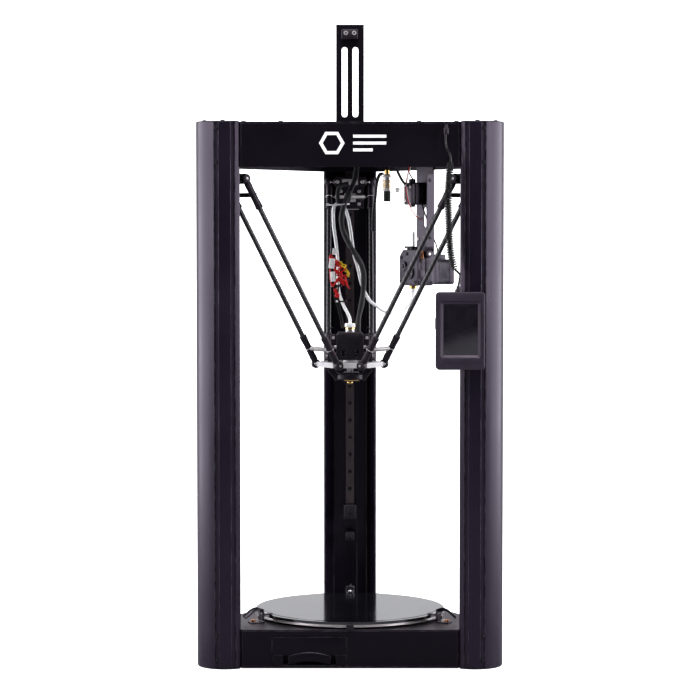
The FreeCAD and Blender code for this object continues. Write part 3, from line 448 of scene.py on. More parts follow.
class Build:
    """One mesh piece put together in millimetres from rounded boxes, turned shapes, tubes and plates."""

    def __init__(self, name, *materials):
        self.name = name
        self.materials = materials
        self.mesh = bmesh.new()
        self.uv = self.mesh.loops.layers.uv.new("UVMap")

    def _own(self, faces, material, matrix=None):
        verts = {v for f in faces for v in f.verts}
        if matrix is not None:
            bmesh.ops.transform(self.mesh, matrix=matrix, verts=list(verts))
        for f in faces:
            f.material_index = material

    def box(self, low, high, radius=0.6, material=0, matrix=None):
        low, high = Vector(low), Vector(high)
        made = bmesh.ops.create_cube(self.mesh, size=1)["verts"]
        for v in made:
            v.co = Vector((v.co[i] + 0.5) * (high[i] - low[i]) + low[i] for i in range(3))
        faces = {f for v in made for f in v.link_faces}
        if radius:
            edges = {e for f in faces for e in f.edges}
            cap = min(high - low) * 0.49
            result = bmesh.ops.bevel(
                self.mesh, geom=list(edges), offset=min(
                    radius, cap
                ), segments=2, profile=0.5, affect="EDGES"
            )
            faces = {f for f in faces if f.is_valid} | set(result["faces"])
        self._own(faces, material, matrix)
        return self

    def turned(
        self, profile, centre=(0, 0, 0), axis="z", material=0, sides=24, matrix=None, uv_scale=(1, 1)
    ):
        """A shape of revolution. profile is (radius, distance along the axis) pairs."""
        basis = AXES[axis]
        rings = []
        for radius, along in profile:
            if radius < 1e-6:
                rings.append([self.mesh.verts.new(basis @ Vector((0, 0, along)) + Vector(centre))])
                continue
            ring = []
            for i in range(sides):
                a = 2 * math.pi * i / sides
                point = Vector((radius * math.cos(a), radius * math.sin(a), along))
                ring.append(self.mesh.verts.new(basis @ point + Vector(centre)))
            rings.append(ring)
        faces = self._skin(rings, [p[1] for p in profile], sides, uv_scale)
        self._own(faces, material, matrix)
        return self

    def _skin(self, rings, stations, sides, uv_scale, closed=False):
        faces = []
        for k, (a, b) in enumerate(zip(rings, rings[1:])):
            for i in range(sides):
                j = (i + 1) % sides
                loop = [a[i % len(a)], a[j % len(a)], b[j % len(b)], b[i % len(b)]]
                us = [stations[k], stations[k], stations[k + 1], stations[k + 1]]
                vs = [i, i + 1, i + 1, i]
                kept, seen = [], set()
                for v, uu, vv in zip(loop, us, vs):
                    if v not in seen:
                        seen.add(v)
                        kept.append((v, uu, vv))
                if len(kept) < 3:
                    continue
                face = self.mesh.faces.new([v for v, _, _ in kept])
                for corner, (_, uu, vv) in zip(face.loops, kept):
                    corner[self.uv].uv = (uu * uv_scale[0], vv / sides * uv_scale[1])
                faces.append(face)
        return faces

    def bridge(self, outlines, material=0):
        """Joins closed outlines of 3-D points, each to the next."""
        rings = [[self.mesh.verts.new(point) for point in outline] for outline in outlines]
        self._own(self._skin(rings, range(len(rings)), len(rings[0]), (1, 1)), material)

    def tube(self, path, radius, material=0, sides=10, uv_scale=(1, 1), smooth=8, section=None):
        """A round tube along a smooth path. radius may be a function of the share of the path."""
        points = smooth_path(path, smooth) if smooth else [Vector(p) for p in path]
        stations = [0.0]
        for a, b in zip(points, points[1:]):
            stations.append(stations[-1] + (b - a).length)
        rings = []
        for k, (point, (side, up)) in enumerate(zip(points, moving_frames(points))):
            share = stations[k] / stations[-1]
            r = radius(share) if callable(radius) else radius
            ring = []
            for i in range(sides):
                a = 2 * math.pi * i / sides
                wide, tall = section or (1, 1)
                ring.append(
                    self.mesh.verts.new(point + side * math.cos(a) * r * wide + up * math.sin(a) * r * tall)
                )
            rings.append(ring)
        faces = self._skin(rings, stations, sides, uv_scale)
        faces.append(self.mesh.faces.new(list(reversed(rings[0]))))
        faces.append(self.mesh.faces.new(rings[-1]))
        self._own(faces, material)
        return self

    def plate(self, outline, low, high, material=0, radius=0.4, matrix=None, holes=()):
        """A flat plate with an outline of (x, y) pairs, from one height to another."""
        flat = bmesh.new()
        loops = [outline] + list(holes)
        edges = []
        for loop in loops:
            verts = [flat.verts.new((x, y, low)) for x, y in loop]
            edges += [flat.edges.new((verts[i], verts[(i + 1) % len(verts)])) for i in range(len(verts))]
        bmesh.ops.triangle_fill(flat, edges=edges, use_beauty=True, use_dissolve=True, normal=(0, 0, 1))
        solid = bmesh.ops.extrude_face_region(flat, geom=flat.faces[:])
        for grown in solid["geom"]:
            if isinstance(grown, bmesh.types.BMVert):
                grown.co.z = high
        bmesh.ops.recalc_face_normals(flat, faces=flat.faces[:])
        if radius:
            rims = [e for e in flat.edges if len(e.link_faces) == 2 and e.calc_face_angle(0) > 0.6]
            bmesh.ops.bevel(
                flat, geom=rims, offset=radius, segments=2, profile=0.5, affect="EDGES", clamp_overlap=True
            )
        copy = {v: self.mesh.verts.new(v.co) for v in flat.verts}
        faces = []
        for f in flat.faces:
            faces.append(self.mesh.faces.new([copy[v] for v in f.verts]))
        flat.free()
        self._own(faces, material, matrix)
        return self

    def screw(self, centre, radius=2.6, height=1.8, facing="z", material=0, matrix=None):
        """A button or cap screw head with a hexagon socket, standing out along x, y, z, -x, -y or -z."""
        basis = AXES[facing[-1]]
        way = -1 if facing.startswith("-") else 1
        depth = height * 0.62
        inner = radius * 0.52
        profile = [
            (radius, 0), (radius, height * 0.55), (radius * 0.9, height * 0.88), (radius * 0.72, height)
        ]
        rings = []
        for r, z in profile:
            rings.append(
                [(r * math.cos(math.pi * i / 6), r * math.sin(math.pi * i / 6), z) for i in range(12)]
            )
        hexagon = []
        for i in range(12):
            a = math.pi * i / 6
            r = inner if i % 2 == 0 else inner * math.cos(math.pi / 6)
            hexagon.append((r * math.cos(a), r * math.sin(a)))
        rings.append([(x, y, height) for x, y in hexagon])
        rings.append([(x, y, height - depth) for x, y in hexagon])
        made = [
            [
                self.mesh.verts.new(basis @ Vector((x, y, z * way)) + Vector(centre)) for x, y, z in ring
            ] for ring in rings
        ]
        faces = self._skin(made, range(len(made)), 12, (1, 1))
        faces.append(self.mesh.faces.new(made[-1]))
        faces.append(self.mesh.faces.new(list(reversed(made[0]))))
        self._own(faces, material, matrix)
        return self

    def done(self, body, turn=0, matrix=None, replaces=(), slot=None, sharp=35, blend=None):
        """Makes the Blender object, in metres in the row frame, riding on a body; with blend it is baked in
        place and rides on none.
        """
        bmesh.ops.recalc_face_normals(self.mesh, faces=self.mesh.faces[:])
        whole = Matrix.Scale(MM, 4) @ rotation(turn, "Z")
        if matrix is not None:
            whole = whole @ matrix
        self.mesh.transform(whole)
        data = bpy.data.meshes.new(self.name)
        self.mesh.to_mesh(data)
        self.mesh.free()
        for key in self.materials:
            data.materials.append(MATERIAL[key])
        data.shade_smooth()
        data.set_sharp_from_angle(angle=math.radians(sharp))
        obj = bpy.data.objects.new(self.name, data)
        bpy.context.scene.collection.objects.link(obj)
        if blend:
            other, start, end = blend
            [c * MM for c in start]
            [c * MM for c in end]
            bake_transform(obj)
        else:
            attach(obj, body)
        if replaces:
            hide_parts(*replaces)
        return obj


# ---- CAD nodes that stay, with their materials

KEPT = {
    "column": ["tower_rear", "tower_left", "tower_right"],
    "sheet": ["base_wall", "base_bottom_plate", "top_frame", "top_cover", "spool_bracket"],
    "top_sheet": ["base_top_plate"],
    "rubber": ["tower_feet"],
    "rail": ["linear_rails"],
    "belt": ["belts"],
    "block": ["rail_block_rear", "rail_block_left", "rail_block_right"],
    "chrome": ["ball_axle_rear", "ball_axle_left", "ball_axle_right", "effector_studs"],
    "turned": ["idler_rear", "idler_left", "idler_right", "feeder_gear", "hotend"]
    + ["drive_pulley_rear", "drive_pulley_left", "drive_pulley_right"],
    "motor_paint": ["stepper_motors"],
    "zinc": ["power_supply", "heater_plate"],
    "black_plastic": ["power_inlet", "hotend_fan", "feeder_lever", "screen_holder"]
    + ["carriage_rear", "carriage_left", "carriage_right"],
    "red_gloss": ["power_rocker"],
    "bed": ["bed_glass"],
    "aluminium": ["effector_plate"],
    "brass": ["nozzle"],
    "hanger": ["feeder_bracket"],
}
for key, names in KEPT.items():
    for name in names:
        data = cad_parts[name].data
        data.materials.clear()
        data.materials.append(MATERIAL[key])


# ---- columns: covers, screws, rail stops

COLUMN_RADIUS, COLUMN_CENTRE, COLUMN_INSIDE = 38.0, 193.0, 190.0
RAIL_SCREWS, RAIL_FIRST_SCREW, RAIL_SCREW_PITCH = 22, 117.5, 25.0


def column_section(inset=0.0, steps=28):
    """The D-shaped outline of a column on the rear side, in (x, y) millimetres."""
    radius = COLUMN_RADIUS - inset
    outline = [(-radius, COLUMN_INSIDE + inset), (radius, COLUMN_INSIDE + inset)]
    for i in range(steps + 1):
        a = math.pi * i / steps
        outline.append((radius * math.cos(a), COLUMN_CENTRE + radius * math.sin(a)))
    return outline


def side_screw_frame(side, z):
    """Where a column's side screw sits, and the way it points."""
    angle = math.radians(45.5 * side)
    out = Vector((math.sin(angle), math.cos(angle), 0))
    place = Vector((0, COLUMN_CENTRE, z)) + out * (COLUMN_RADIUS - 1.8)
    turn = Vector((0, 0, 1)).rotation_difference(out).to_matrix().to_4x4()
    return Matrix.Translation(place) @ turn


for side_name, degrees in COLUMNS:
    caps = Build(f"column_covers_{side_name}", "sheet", "black_steel")
    caps.plate(column_section(0.6), 663.4, 665.4, radius=0.7)
    caps.plate(column_section(0.6), -63.0, -61.7, radius=0.4)
    for x, y in ((-22, 207), (22, 207), (0, 223)):
        caps.screw((x, y, 665.3), 2.9, 1.7, material=1)
    caps.done("frame", degrees, slot="black_sheet")

    screws = Build(f"column_screws_{side_name}", "black_steel", "zinc")
    for side in (-1, 1):
        for z in (656.0, 610.6, -19.4, -51.8):
            screws.screw((0, 0, 0), 2.5, 1.5, matrix=side_screw_frame(side, z))
    for i in range(RAIL_SCREWS):
        height = RAIL_FIRST_SCREW + RAIL_SCREW_PITCH * i
        screws.screw((0, 199.6, height), 2.6, 1.2, facing="-y")
    screws.turned(
        [(0, 0), (4.2, 0), (4.2, 2.0), (2.5, 2.4), (2.5, 15.4), (0, 15.4)], (17, 203.1, 639), "y", 1
    )
    screws.done(
        "frame", degrees, replaces=["frame_screws"] if side_name == "rear" else [], slot="black_screws"
    )

    stops = Build(f"rail_stops_{side_name}", "black_plastic", "black_steel")
    stops.box((-9, 186.8, 98.5), (9, 197.8, 119.5), 1.4)
    stops.box((-6.5, 187.5, 67), (6.5, 206, 79), 1.2)
    stops.box((-9, 188, 648), (9, 206, 662), 1.2)
    stops.screw((0, 186.9, 109), 2.7, 1.4, facing="-y", material=1)
    stops.screw((0, 187.6, 73), 2.2, 1.2, facing="-y", material=1)
    stops.done("frame", degrees)


# ---- base and top frame

cover_screws = Build("cover_screws", "black_steel")
for degrees in (0, 120, 240):
    turn = rotation(degrees, "Z")
    for x, y in ((-30, 180), (30, 180), (-56, 138), (56, 138)):
        at = turn @ Vector((x, y, 664.2))
        cover_screws.screw(at, 3.0, 1.6)
        low = turn @ Vector((x, y, -61.6))
        cover_screws.screw(low, 3.0, 1.6, facing="-z")
cover_screws.done("frame", slot="black_screws")

hook = Build("spool_hook_details", "black_plastic", "zinc")
hook.box((-12.4, 167.6, 794.6), (11.4, 170.4, 808.4), 1.4)
for x in (-6, 6):
    hook.turned([(1.4, 0), (3.1, 0), (3.1, 1.2), (1.4, 1.4)], (x, 166.9, 803), "y", material=1, sides=18)
hook.done("frame")

emblem = Build("front_emblem", "print_white")
hexagon = circle(-24, 0, 17, 6, way=1)
hole = circle(-24, 0, 12, 6)
beam_front = upright(0, -131.25, 636)
emblem.plate(hexagon, 0, 0.25, radius=0, matrix=beam_front, holes=[hole])
for i, length in enumerate((44, 44, 26)):
    y = 9 - 9 * i
    emblem.plate(
        [(4, y - 2), (4 + length, y - 2), (4 + length, y + 2), (4, y + 2)], 0, 0.25, radius=0,
        matrix=beam_front
    )
emblem.done("frame")

drawer = Build("drawer_body", "sheet")
left, right, low, high, front = -103.6, -4.5, -59.6, -20.0, -131.2
recess_low, recess_high = -58.0, -45.0
drawer.box((left, front, recess_high), (right, front + 12, high), 0.9)
drawer.box((left, front, low), (right, front + 12, recess_low), 0.9)
drawer.box((left, front, recess_low - 1), (-89, front + 12, recess_high + 1), 0.8)
drawer.box((-19, front, recess_low - 1), (right, front + 12, recess_high + 1), 0.8)
drawer.box((left + 1, front + 10, low), (right - 1, front + 14, high - 1), 0.6)
drawer.box((left, front + 12, low), (left + 2, front + 92, high), 0.5)
drawer.box((right - 2, front + 12, low), (right, front + 92, high), 0.5)
drawer.box((left + 1, front + 90, low), (right - 1, front + 92, high), 0.5)
drawer.box((left + 1, front + 12, low), (right - 1, front + 91, low + 2), 0.5)
ARCH_LEFT, ARCH_RIGHT, ARCH_RISE = -82.5, -25.5, 4.8
arch = []
for base, steps in ((-45.2, range(15)), (-57.4, range(14, -1, -1))):
    for i in steps:
        across = ARCH_RIGHT + (ARCH_LEFT - ARCH_RIGHT) * i / 14
        arch.append((across, base + ARCH_RISE * math.sin(math.pi * i / 14)))
drawer.plate(arch, 0, 5, radius=1.6, matrix=upright(0, front + 3.4, 0))
drawer.done("tool_drawer", replaces=["tool_drawer"], slot="drawer_plastic")


# ---- bed clips

for side_name, degrees in COLUMNS:
    clip = Build(f"bed_clip_{side_name}", "clip_paint", "zinc", "copper")
    clip.box((-7, 137.5, -10), (7, 156, -8.2), 0.5)
    clip.box((-6, 137.5, -9), (6, 139.3, 8.4), 0.5)
    leaf = [
        (-6, 139.4), (-6, 128), (-4.6, 124), (-2.6, 122.6), (2.6, 122.6), (4.6, 124), (6, 128), (6, 139.4)
    ]
    clip.plate(leaf, 0.2, 1.7, radius=0.4)
    clip.tube(
        [(0, 139.5, 6), (0, 146, 8.2), (0, 153, 6.4), (0, 160, 1.5), (0, 165, -1.5)], 3.6,
        section=(1, 0.28), sides=12
    )
    clip.turned(
        [(0, 0), (3.4, 0), (3.4, 2), (2.2, 3), (1.6, 3.2), (1.6, 12), (0, 12.4)], (0, 146, -8.3), material=1
    )
    clip.turned(
        [(0, 0), (2.7, 0), (2.9, 0.7), (2.9, 2.4), (2.2, 3.1), (0, 3.2)], (0, 151.5, -8.3), material=2
    )
    clip.screw((0, 133, 1.6), 2.3, 1.3, material=1)
    clip.done("frame", degrees, replaces=["bed_clips"] if side_name == "rear" else [], slot="clip_steel")

bed_trim = Build("bed_trim", "black_plastic", "zinc")
bed_trim.box((-5, -135, -10), (5, -129.8, -2.5), 0.8)
bed_trim.turned(
    [(127.6, -0.9), (130.3, -0.7), (130.3, -0.2), (127.6, -0.1)], (0, 0, -6.4), sides=96, material=1
)
for degrees in (60, 180, 300):
    a = math.radians(degrees + 30)
    bed_trim.turned(
        [(4.5, 0), (4.5, 2.6), (3.4, 2.9), (0, 2.9)], (112 * math.cos(a), 112 * math.sin(a), -10),
        material=1
    )
bed_trim.done("frame")


# ---- carriages, arms and springs

PIVOT_OUT, PIVOT_IN, PIVOT_HALF = 178.0, 36.0, 30.0
HIGH_BALL, LOW_BALL = 589.7, 336.6
ARM_LENGTH = math.hypot(PIVOT_OUT - PIVOT_IN, HIGH_BALL - LOW_BALL)
LEAN = math.atan2(PIVOT_OUT - PIVOT_IN, HIGH_BALL - LOW_BALL)


def arm_frame(side):
    """From an arm drawn upright on its lower ball to its place on the rear column's side."""
    return Matrix.Translation((PIVOT_HALF * side, PIVOT_IN, LOW_BALL)) @ Matrix.Rotation(-LEAN, 4, "X")


def arm_point(side, along):
    return arm_frame(side) @ Vector((0, 0, along))


def sleeve_profile():
    """From the ball end to the open end of a sleeve, which is necked behind the socket and has a rim."""
    return [
        (3.4, 4.4), (4.4, 6.0), (4.8, 12.0), (4.5, 14.0), (4.5, 33.0), (4.8, 38.5), (4.9, 42.0),
        (5.1, 42.6), (5.1, 44.4), (4.6, 44.9), (3.45, 45.0),
    ]


for side_name, degrees in COLUMNS:
    for side, tag in ((-1, "a"), (1, "b")):
        place = arm_frame(side)
        body = f"arm_{side_name}_{tag}"
        tube = Build(f"arm_tube_{side_name}_{tag}", "carbon")
        tube.turned(
            [(3.35, 40 + (ARM_LENGTH - 80) * i / 40) for i in range(41)], sides=18, uv_scale=(0.5, 8)
        )
        tube.done(body, degrees, place, replaces=[body], slot="arm_carbon")
        ends = Build(f"arm_ends_{side_name}_{tag}", "black_plastic", "zinc")
        ends.turned(sleeve_profile(), sides=20)
        ends.turned([(r, ARM_LENGTH - z) for r, z in reversed(sleeve_profile())], sides=20)
        cup = [
            (4.05, -1.0), (5.3, -1.2), (6.1, -0.5), (6.3, 1.6), (6.0, 4.4), (4.9, 5.9), (3.0, 6.5), (0, 6.6)
        ]
        for z in (0, ARM_LENGTH):
            wall = [(0.01 + r, x * side) for r, x in cup]
            ends.turned(wall, (0, 0, z), "x", sides=22)
            ends.turned(
                [(4.08, -1.0 * side), (4.2, 0), (3.6, 2.3 * side), (2.2, 3.6 * side), (0, 4.15 * side)],
                (0, 0, z), "x", sides=22
            )
            ends.screw((6.3 * side, 0, z), 1.5, 0.5, facing="x" if side > 0 else "-x", material=1)
        ends.done(body, degrees, place, slot="arm_carbon")

    for name, along, body, key, thickness in (
        (
            "upper", ARM_LENGTH - 25, f"carriage_{side_name}",
            "zinc" if side_name == "rear" else "black_steel", 0.55
        ),
        ("lower", 25, "effector", "zinc", 0.62),
    ):
        spring = Build(f"arm_spring_{name}_{side_name}", key)
        a, b = arm_point(-1, along), arm_point(1, along)
        start, end = a + Vector((7.0, 0, 0)), b - Vector((7.0, 0, 0))
        turns = int((end - start).length / 1.5)
        spring.tube(
            coil_path([start, start.lerp(end, 0.5), end], 2.5, turns, 10), thickness, smooth=0, sides=6
        )
        ring_turn = Matrix.Rotation(-LEAN, 3, "X")
        for centre, way in ((a, 1), (b, -1)):
            hook = []
            for i in range(19):
                angle = math.radians(-170 + 340 * i / 18)
                hook.append(
                    centre + ring_turn @ Vector((5.0 * math.cos(angle) * way, 5.0 * math.sin(angle), 0))
                )
            spring.tube(hook, thickness, smooth=0, sides=6)
            spring.tube(
                [centre + Vector((5.0 * way, 0, 0)), centre + Vector((7.4 * way, 0, 0))], thickness,
                smooth=3, sides=6
            )
        spring.done(body, degrees)

    fittings = Build(f"carriage_fittings_{side_name}", "zinc", "black_plastic", "black_steel")
    for x, z in ((-13, 558), (13, 558), (-13, 576), (13, 576)):
        fittings.screw((x, 181.0, z), 2.6, 1.5, facing="-y")
    for x in (-18, 18):
        fittings.screw((x, 172.1, 589.7), 2.9, 1.8, facing="-y")
    fittings.box((-9, 178.4, 560), (9, 181.4, 574), 0.8, 1)
    fittings.box((-12, 171.0, 584.5), (12, 173, 594.5), 0.8, 1)
    for x in (-23.2, 23.2):
        fittings.turned(
            [(2.1, -1.2), (3.6, -1.2), (3.8, -0.8), (3.8, 0.8), (3.6, 1.2), (2.1, 1.2)], (x, 178, 589.7),
            "x", sides=6
        )
    fittings.box((-13.4, 193.1, 549.2), (13.4, 197.9, 551.6), 0.5, 2)
    for x in (-10.5, 10.5):
        fittings.box((x - 2.9, 197.0, 549.2), (x + 2.9, 202.9, 551.6), 0.5, 2)
    fittings.done(f"carriage_{side_name}", degrees)


# ---- effector: shroud, hot end details, springs' anchors

shroud = Build("hotend_shroud_body", "black_plastic", "zinc", "black_steel", "red_gloss")
face = [(-18.5, 0), (-18.5, 34), (-15.5, 38), (15.5, 38), (18.5, 34), (18.5, 0)]
front_slots = []
for x in (-11.8, 7.4):
    front_slots.append(
        [(x, 1.5), (x, 13.5), (x + 1.4, 15), (x + 3.4, 15), (x + 4.8, 13.5), (x + 4.8, 1.5)][::-1]
    )
shroud.plate(face, -2, 0, radius=0.5, holes=front_slots, matrix=upright(0, -18.5, 343))
shroud.box((-18.5, -17.5, 343), (-16.5, 18.5, 377.5), 0.8)
shroud.box((16.5, -17.5, 343), (18.5, 18.5, 377.5), 0.8)
roof_hole = circle(0, 0, 6.4, 24)
port = circle(11, 11, 3.9, 20)
shroud.plate(
    [(-16, -18), (16, -18), (16, 18.5), (-16, 18.5)], 379.2, 381.0, radius=0.6, holes=[roof_hole, port]
)
for side in (-1, 1):
    slope = [(15.5, 38), (18.5, 34), (16.8, 33.4), (14.0, 36.6)]
    if side < 0:
        slope = [(-x, z) for x, z in reversed(slope)]
    shroud.plate(slope, -36, 0, radius=0.2, matrix=upright(0, -17.5, 343))
    shroud.box((min(18 * side, 26.5 * side), -14, 363), (max(18 * side, 26.5 * side), -10, 378.5), 1.4)
    shroud.screw((22.8 * side, -14, 373.5), 2.3, 1.4, facing="-y", material=1)
    loop = [
        Vector((20.5 * side, -11, 378)) + Vector(
            (4.5 * math.sin(a) * side * 1.5 + 3 * side, 0, 4.6 - 4.6 * math.cos(a))
        )
        for a in [math.pi * i / 8 for i in range(9)]
    ]
    shroud.tube(loop, 1.1, smooth=3)
    shroud.box((min(18 * side, 31 * side), -8, 344.5), (max(18 * side, 31 * side), 8, 353), 1.2)
    shroud.box((min(23.2 * side, 30.8 * side), -7.8, 328), (max(23.2 * side, 30.8 * side), 7.8, 352), 1.0)
    nozzle_turn = Matrix.Translation((27 * side, 0, 330)) @ rotation(38 * side, "Y")
    shroud.box((-4.2, -9.5, -17.5), (4.2, 9.5, 1.5), 1.2, matrix=nozzle_turn)
    shroud.box((-2.6, -7.5, -18.0), (2.6, 7.5, -16.5), 0.4, 2, matrix=nozzle_turn)
    for y in (-6, 6):
        shroud.screw((31 * side, y, 348.5), 1.5, 0.9, facing="x" if side > 0 else "-x", material=1)
shroud.screw((0, -18.6, 350), 2.0, 1.0, facing="-y", material=2)
for x in (-13.5, 13.5):
    shroud.box((x - 1.6, -19.2, 376.5), (x + 1.6, -18.2, 379), 0.4)
shroud.box((-21.8, -15.2, 350.6), (-19.6, -13, 353.2), 0.5, 3)
shroud.turned(
    [
        (14.3, 8), (14.3, 0.8), (15.2, 0), (19, 0), (20.2, 1.2), (20.2, 7), (19, 8), (14.3, 8)
    ], (0, 0, 315.6), sides=36
)
fan_frame = [(-15, -15), (15, -15), (15, 15), (-15, 15)]
fan_hole = circle(0, 0, 13.7, 36)
fan_at = Matrix.Translation((0, 18.5, 363.7)) @ rotation(-90, "X")
shroud.plate(fan_frame, 0, 8, radius=1.0, holes=[fan_hole], matrix=fan_at)
for x in (-12.2, 12.2):
    for z in (-12.2, 12.2):
        shroud.screw((x, 26.5, 363.7 + z), 1.8, 1.0, facing="y", material=2)
for angle in (0, 90, 180, 270):
    spoke = fan_at @ rotation(angle, "Z")
    shroud.box((3, -0.9, 0.1), (14, 0.9, 1.4), 0.3, matrix=spoke)
shroud.turned([(0, 0), (5.5, 0), (5.5, 1.5), (1.5, 1.6), (1.5, 6.4), (0, 6.5)], (0, 18.6, 363.7), "y")
shroud.done("effector", replaces=["hotend_shroud"], slot="black_plastic")

hot = Build("hotend_details", "brass", "white_plastic", "zinc", "rubber")
hot.turned([(2.4, 0), (5.9, 0), (5.9, 6.4), (5.4, 7.2), (2.4, 7.4)], (0, 0, 380.6), sides=6, material=0)
hot.turned([(2.4, 0), (6.2, 0.2), (6.2, 1.6), (2.4, 1.8)], (0, 0, 380.4), sides=20, material=2)
hot.turned(
    [(2.4, 0), (7.1, 0), (7.3, 0.5), (7.3, 4.6), (6.6, 5.3), (2.4, 5.5)], (0, 0, 387.5), sides=24,
    material=1
)
hot.box((-9.5, -11.5, 312.6), (13.5, 11.5, 325.4), 1.8, 3)
hot.turned([(2.7, -10.8), (2.7, 13)], (7.5, 0, 319), "y", sides=12, material=2)
hot.turned([(3.0, 2.0), (3.9, 2.4), (3.9, 4.9), (3.4, 5.4), (0, 5.5)], (0, 0, 308.5), sides=6, material=0)
for side in (-1, 1):
    hot.screw((8.7 * side, -6, 343), 1.8, 1.2, material=2)
    for y in (-30, 20):
        hot.screw((14 * side, y, 340.0), 2.3, 1.5, material=2)
hot.done("effector")

trim = Build("effector_trim", "aluminium")
for degrees in (0, 120, 240):
    turn = rotation(degrees, "Z")
    for x in (-25.6, 25.6):
        trim.turned(
            [(2.1, -1.0), (3.4, -1.0), (3.6, -0.6), (3.6, 0.6), (3.4, 1.0), (2.1, 1.0)], (x, 36, 336.6),
            "x", matrix=turn, sides=6
        )
trim.done("effector")


# ---- tubes, sleeves and wires

ptfe_path = [
    (88.8, 66.3, 442), (88.8, 66.3, 432), (85.8, 63.3, 420), (75, 54, 409), (58, 43, 405), (47, 37, 408.5),
    (
        37, 31, 415.5
    ), (26, 26, 425), (16.5, 22, 445), (11, 19, 468), (5, 18, 490), (0, 17, 526), (-5, 17, 546),
    (-10, 17, 554), (-17, 17, 557), (-22.5, 17, 551), (-22.5, 16, 528), (-19, 14.5, 500), (-16.5, 13, 472),
    (-16, 9, 440), (-10, 4, 420), (-2.5, 1, 405), (0, 0, 398), (0, 0, 392), (0, 0, 384),
]
ptfe = Build("filament_tube", "ptfe")
ptfe.tube(ptfe_path, 2.3, sides=14, smooth=10, uv_scale=(0.1, 3))
ptfe.done("frame", replaces=["ptfe_tube"], slot="white_tube", blend=("effector", (0, 0, 540), (0, 0, 395)))

# Cables near the head, given with the head's body and two heights; done() unpacks these but does not use
# them, so the cables stay fixed in place.
HEAD_LEAD = ("effector", (0, 0, 560), (0, 0, 388))

loom_path = [
    (
        13, 60, 661
    ), (11, 42, 628), (7, 22, 592), (-4, 9, 566), (-11, 5, 543), (-10, 4, 522), (0, 4, 500), (9, 4, 485),
    (17, 6, 470), (19, 9, 452), (17, 11, 425), (12, 11, 400), (11, 11, 390), (11, 11, 378),
]
loom = Build("cable_sleeve", "braid")
loom.tube(loom_path, lambda t: 3.7 + 0.3 * math.sin(t * 60), sides=16, smooth=12, uv_scale=(0.55, 9))
loop_path = [
    (-2, 9, 585), (-12, 8, 582), (-17, 9, 573), (-16, 10, 560), (-9, 10, 556), (-2, 10, 562), (-1, 9, 574)
]
loom.tube(loop_path, 3.0, smooth=8, sides=12, uv_scale=(0.55, 7))
loom.done("frame", replaces=["cable_loom"], slot="braided_sleeve", blend=HEAD_LEAD)


def wire(name, key, points, radius=0.75, blend=True):
    made = Build(name, key)
    made.tube(points, radius, sides=8, smooth=8, uv_scale=(0.2, 2))
    return made.done("frame", blend=HEAD_LEAD if blend else None)


def tangle(start, end, spread, seed, steps=7):
    """A loose wire that wanders between two points."""
    local = random.Random(seed)
    a, b = Vector(start), Vector(end)
    points = [a]
    for i in range(1, steps):
        swing = math.sin(math.pi * i / steps)
        off = Vector(
            (local.uniform(-1, 1), local.uniform(-0.6, 0.6), local.uniform(-0.5, 0.5))
        ) * spread * swing
        points.append(a.lerp(b, i / steps) + off)
    return points + [b]


for i in range(5):
    wire(
        f"red_wire_{i}", "red_wire",
        tangle((-28 + i * 2.4, 4 - i, 486 - i * 2), (-9 + i * 2.2, 4, 452 - i * 3), 9, 20 + i), 1.0,
    )
for i in range(3):
    path = [
        (-10 + i, 3, 447 - i), (-16, 3 - i, 451 + i * 2), (-25, 2, 446 - i), (-28, 2, 470 + 6 * i),
        (-27 + i, 2, 487)
    ]
    wire(f"red_loop_{i}", "red_wire", path, 1.0)
for i in range(2):
    wire(
        f"yellow_wire_{i}", "yellow_wire", tangle((-14 + 2 * i, 1, 478), (-1, 1, 460 - 3 * i), 5, 40 + i),
        1.1
    )
for i in range(3):
    wire(f"red_tail_{i}", "red_wire", tangle((-22 + i, 3, 440), (-18 + i, 3, 428), 3.5, 60 + i), 0.9)
for i in range(3):
    wire(
        f"drop_wire_{i}", "jacket",
        [
            (-22 + i * 3, 4, 446), (-21 + i * 2, 6, 428), (-16 + i, 8, 412), (-13 + i, 9, 398),
            (-11 + i, 10, 386)
        ], 1.1,
    )
plugs = Build("loom_plugs", "white_plastic", "zinc")
for low, high, tilt in (
    ((-29, -1, 468), (-21, 4, 482), 8), ((-27, 0, 450), (-20, 5, 464), -4),
    ((-24, 3, 487), (-18.5, 7, 496), 3)
):
    middle = (Vector(low) + Vector(high)) / 2
    leaned = Matrix.Translation(middle) @ rotation(tilt, "Y") @ Matrix.Translation(-middle)
    plugs.box(low, high, 0.7, matrix=leaned)
    for i in range(3):
        x = low[0] + 1.8 + i * 2.1
        plugs.box(
            (x, low[1] - 0.3, low[2] + 3), (x + 1.1, low[1] + 0.6, high[2] - 2), 0.2, 1, matrix=leaned
        )
plugs.done("frame", blend=HEAD_LEAD)

ties = Build("cable_ties", "white_plastic", "jacket")


def tie(centre, wide, tall, material=0, tilt=0.0):
    ring = []
    for i in range(21):
        a = 2 * math.pi * i / 20
        ring.append(Vector(centre) + Vector((wide * math.cos(a), tall * math.sin(a), tilt * math.cos(a))))
    ties.tube(ring, 1.1, material, smooth=0, sides=8, section=(1, 0.6))
    ties.box(
        (
            centre[0] - wide - 1.5, centre[1] - tall - 2.2, centre[2] - 1.8
        ), (centre[0] - wide + 2.5, centre[1] - tall + 1.6, centre[2] + 1.8),
        0.5, material,
    )


tie((-16, 12, 556), 15, 10, 0, 0.8)
tie((-18, 10, 444), 6.5, 6.5, 1)
tie((-12, 5, 423), 6.5, 5.5, 1)
ties.done("frame", blend=HEAD_LEAD)

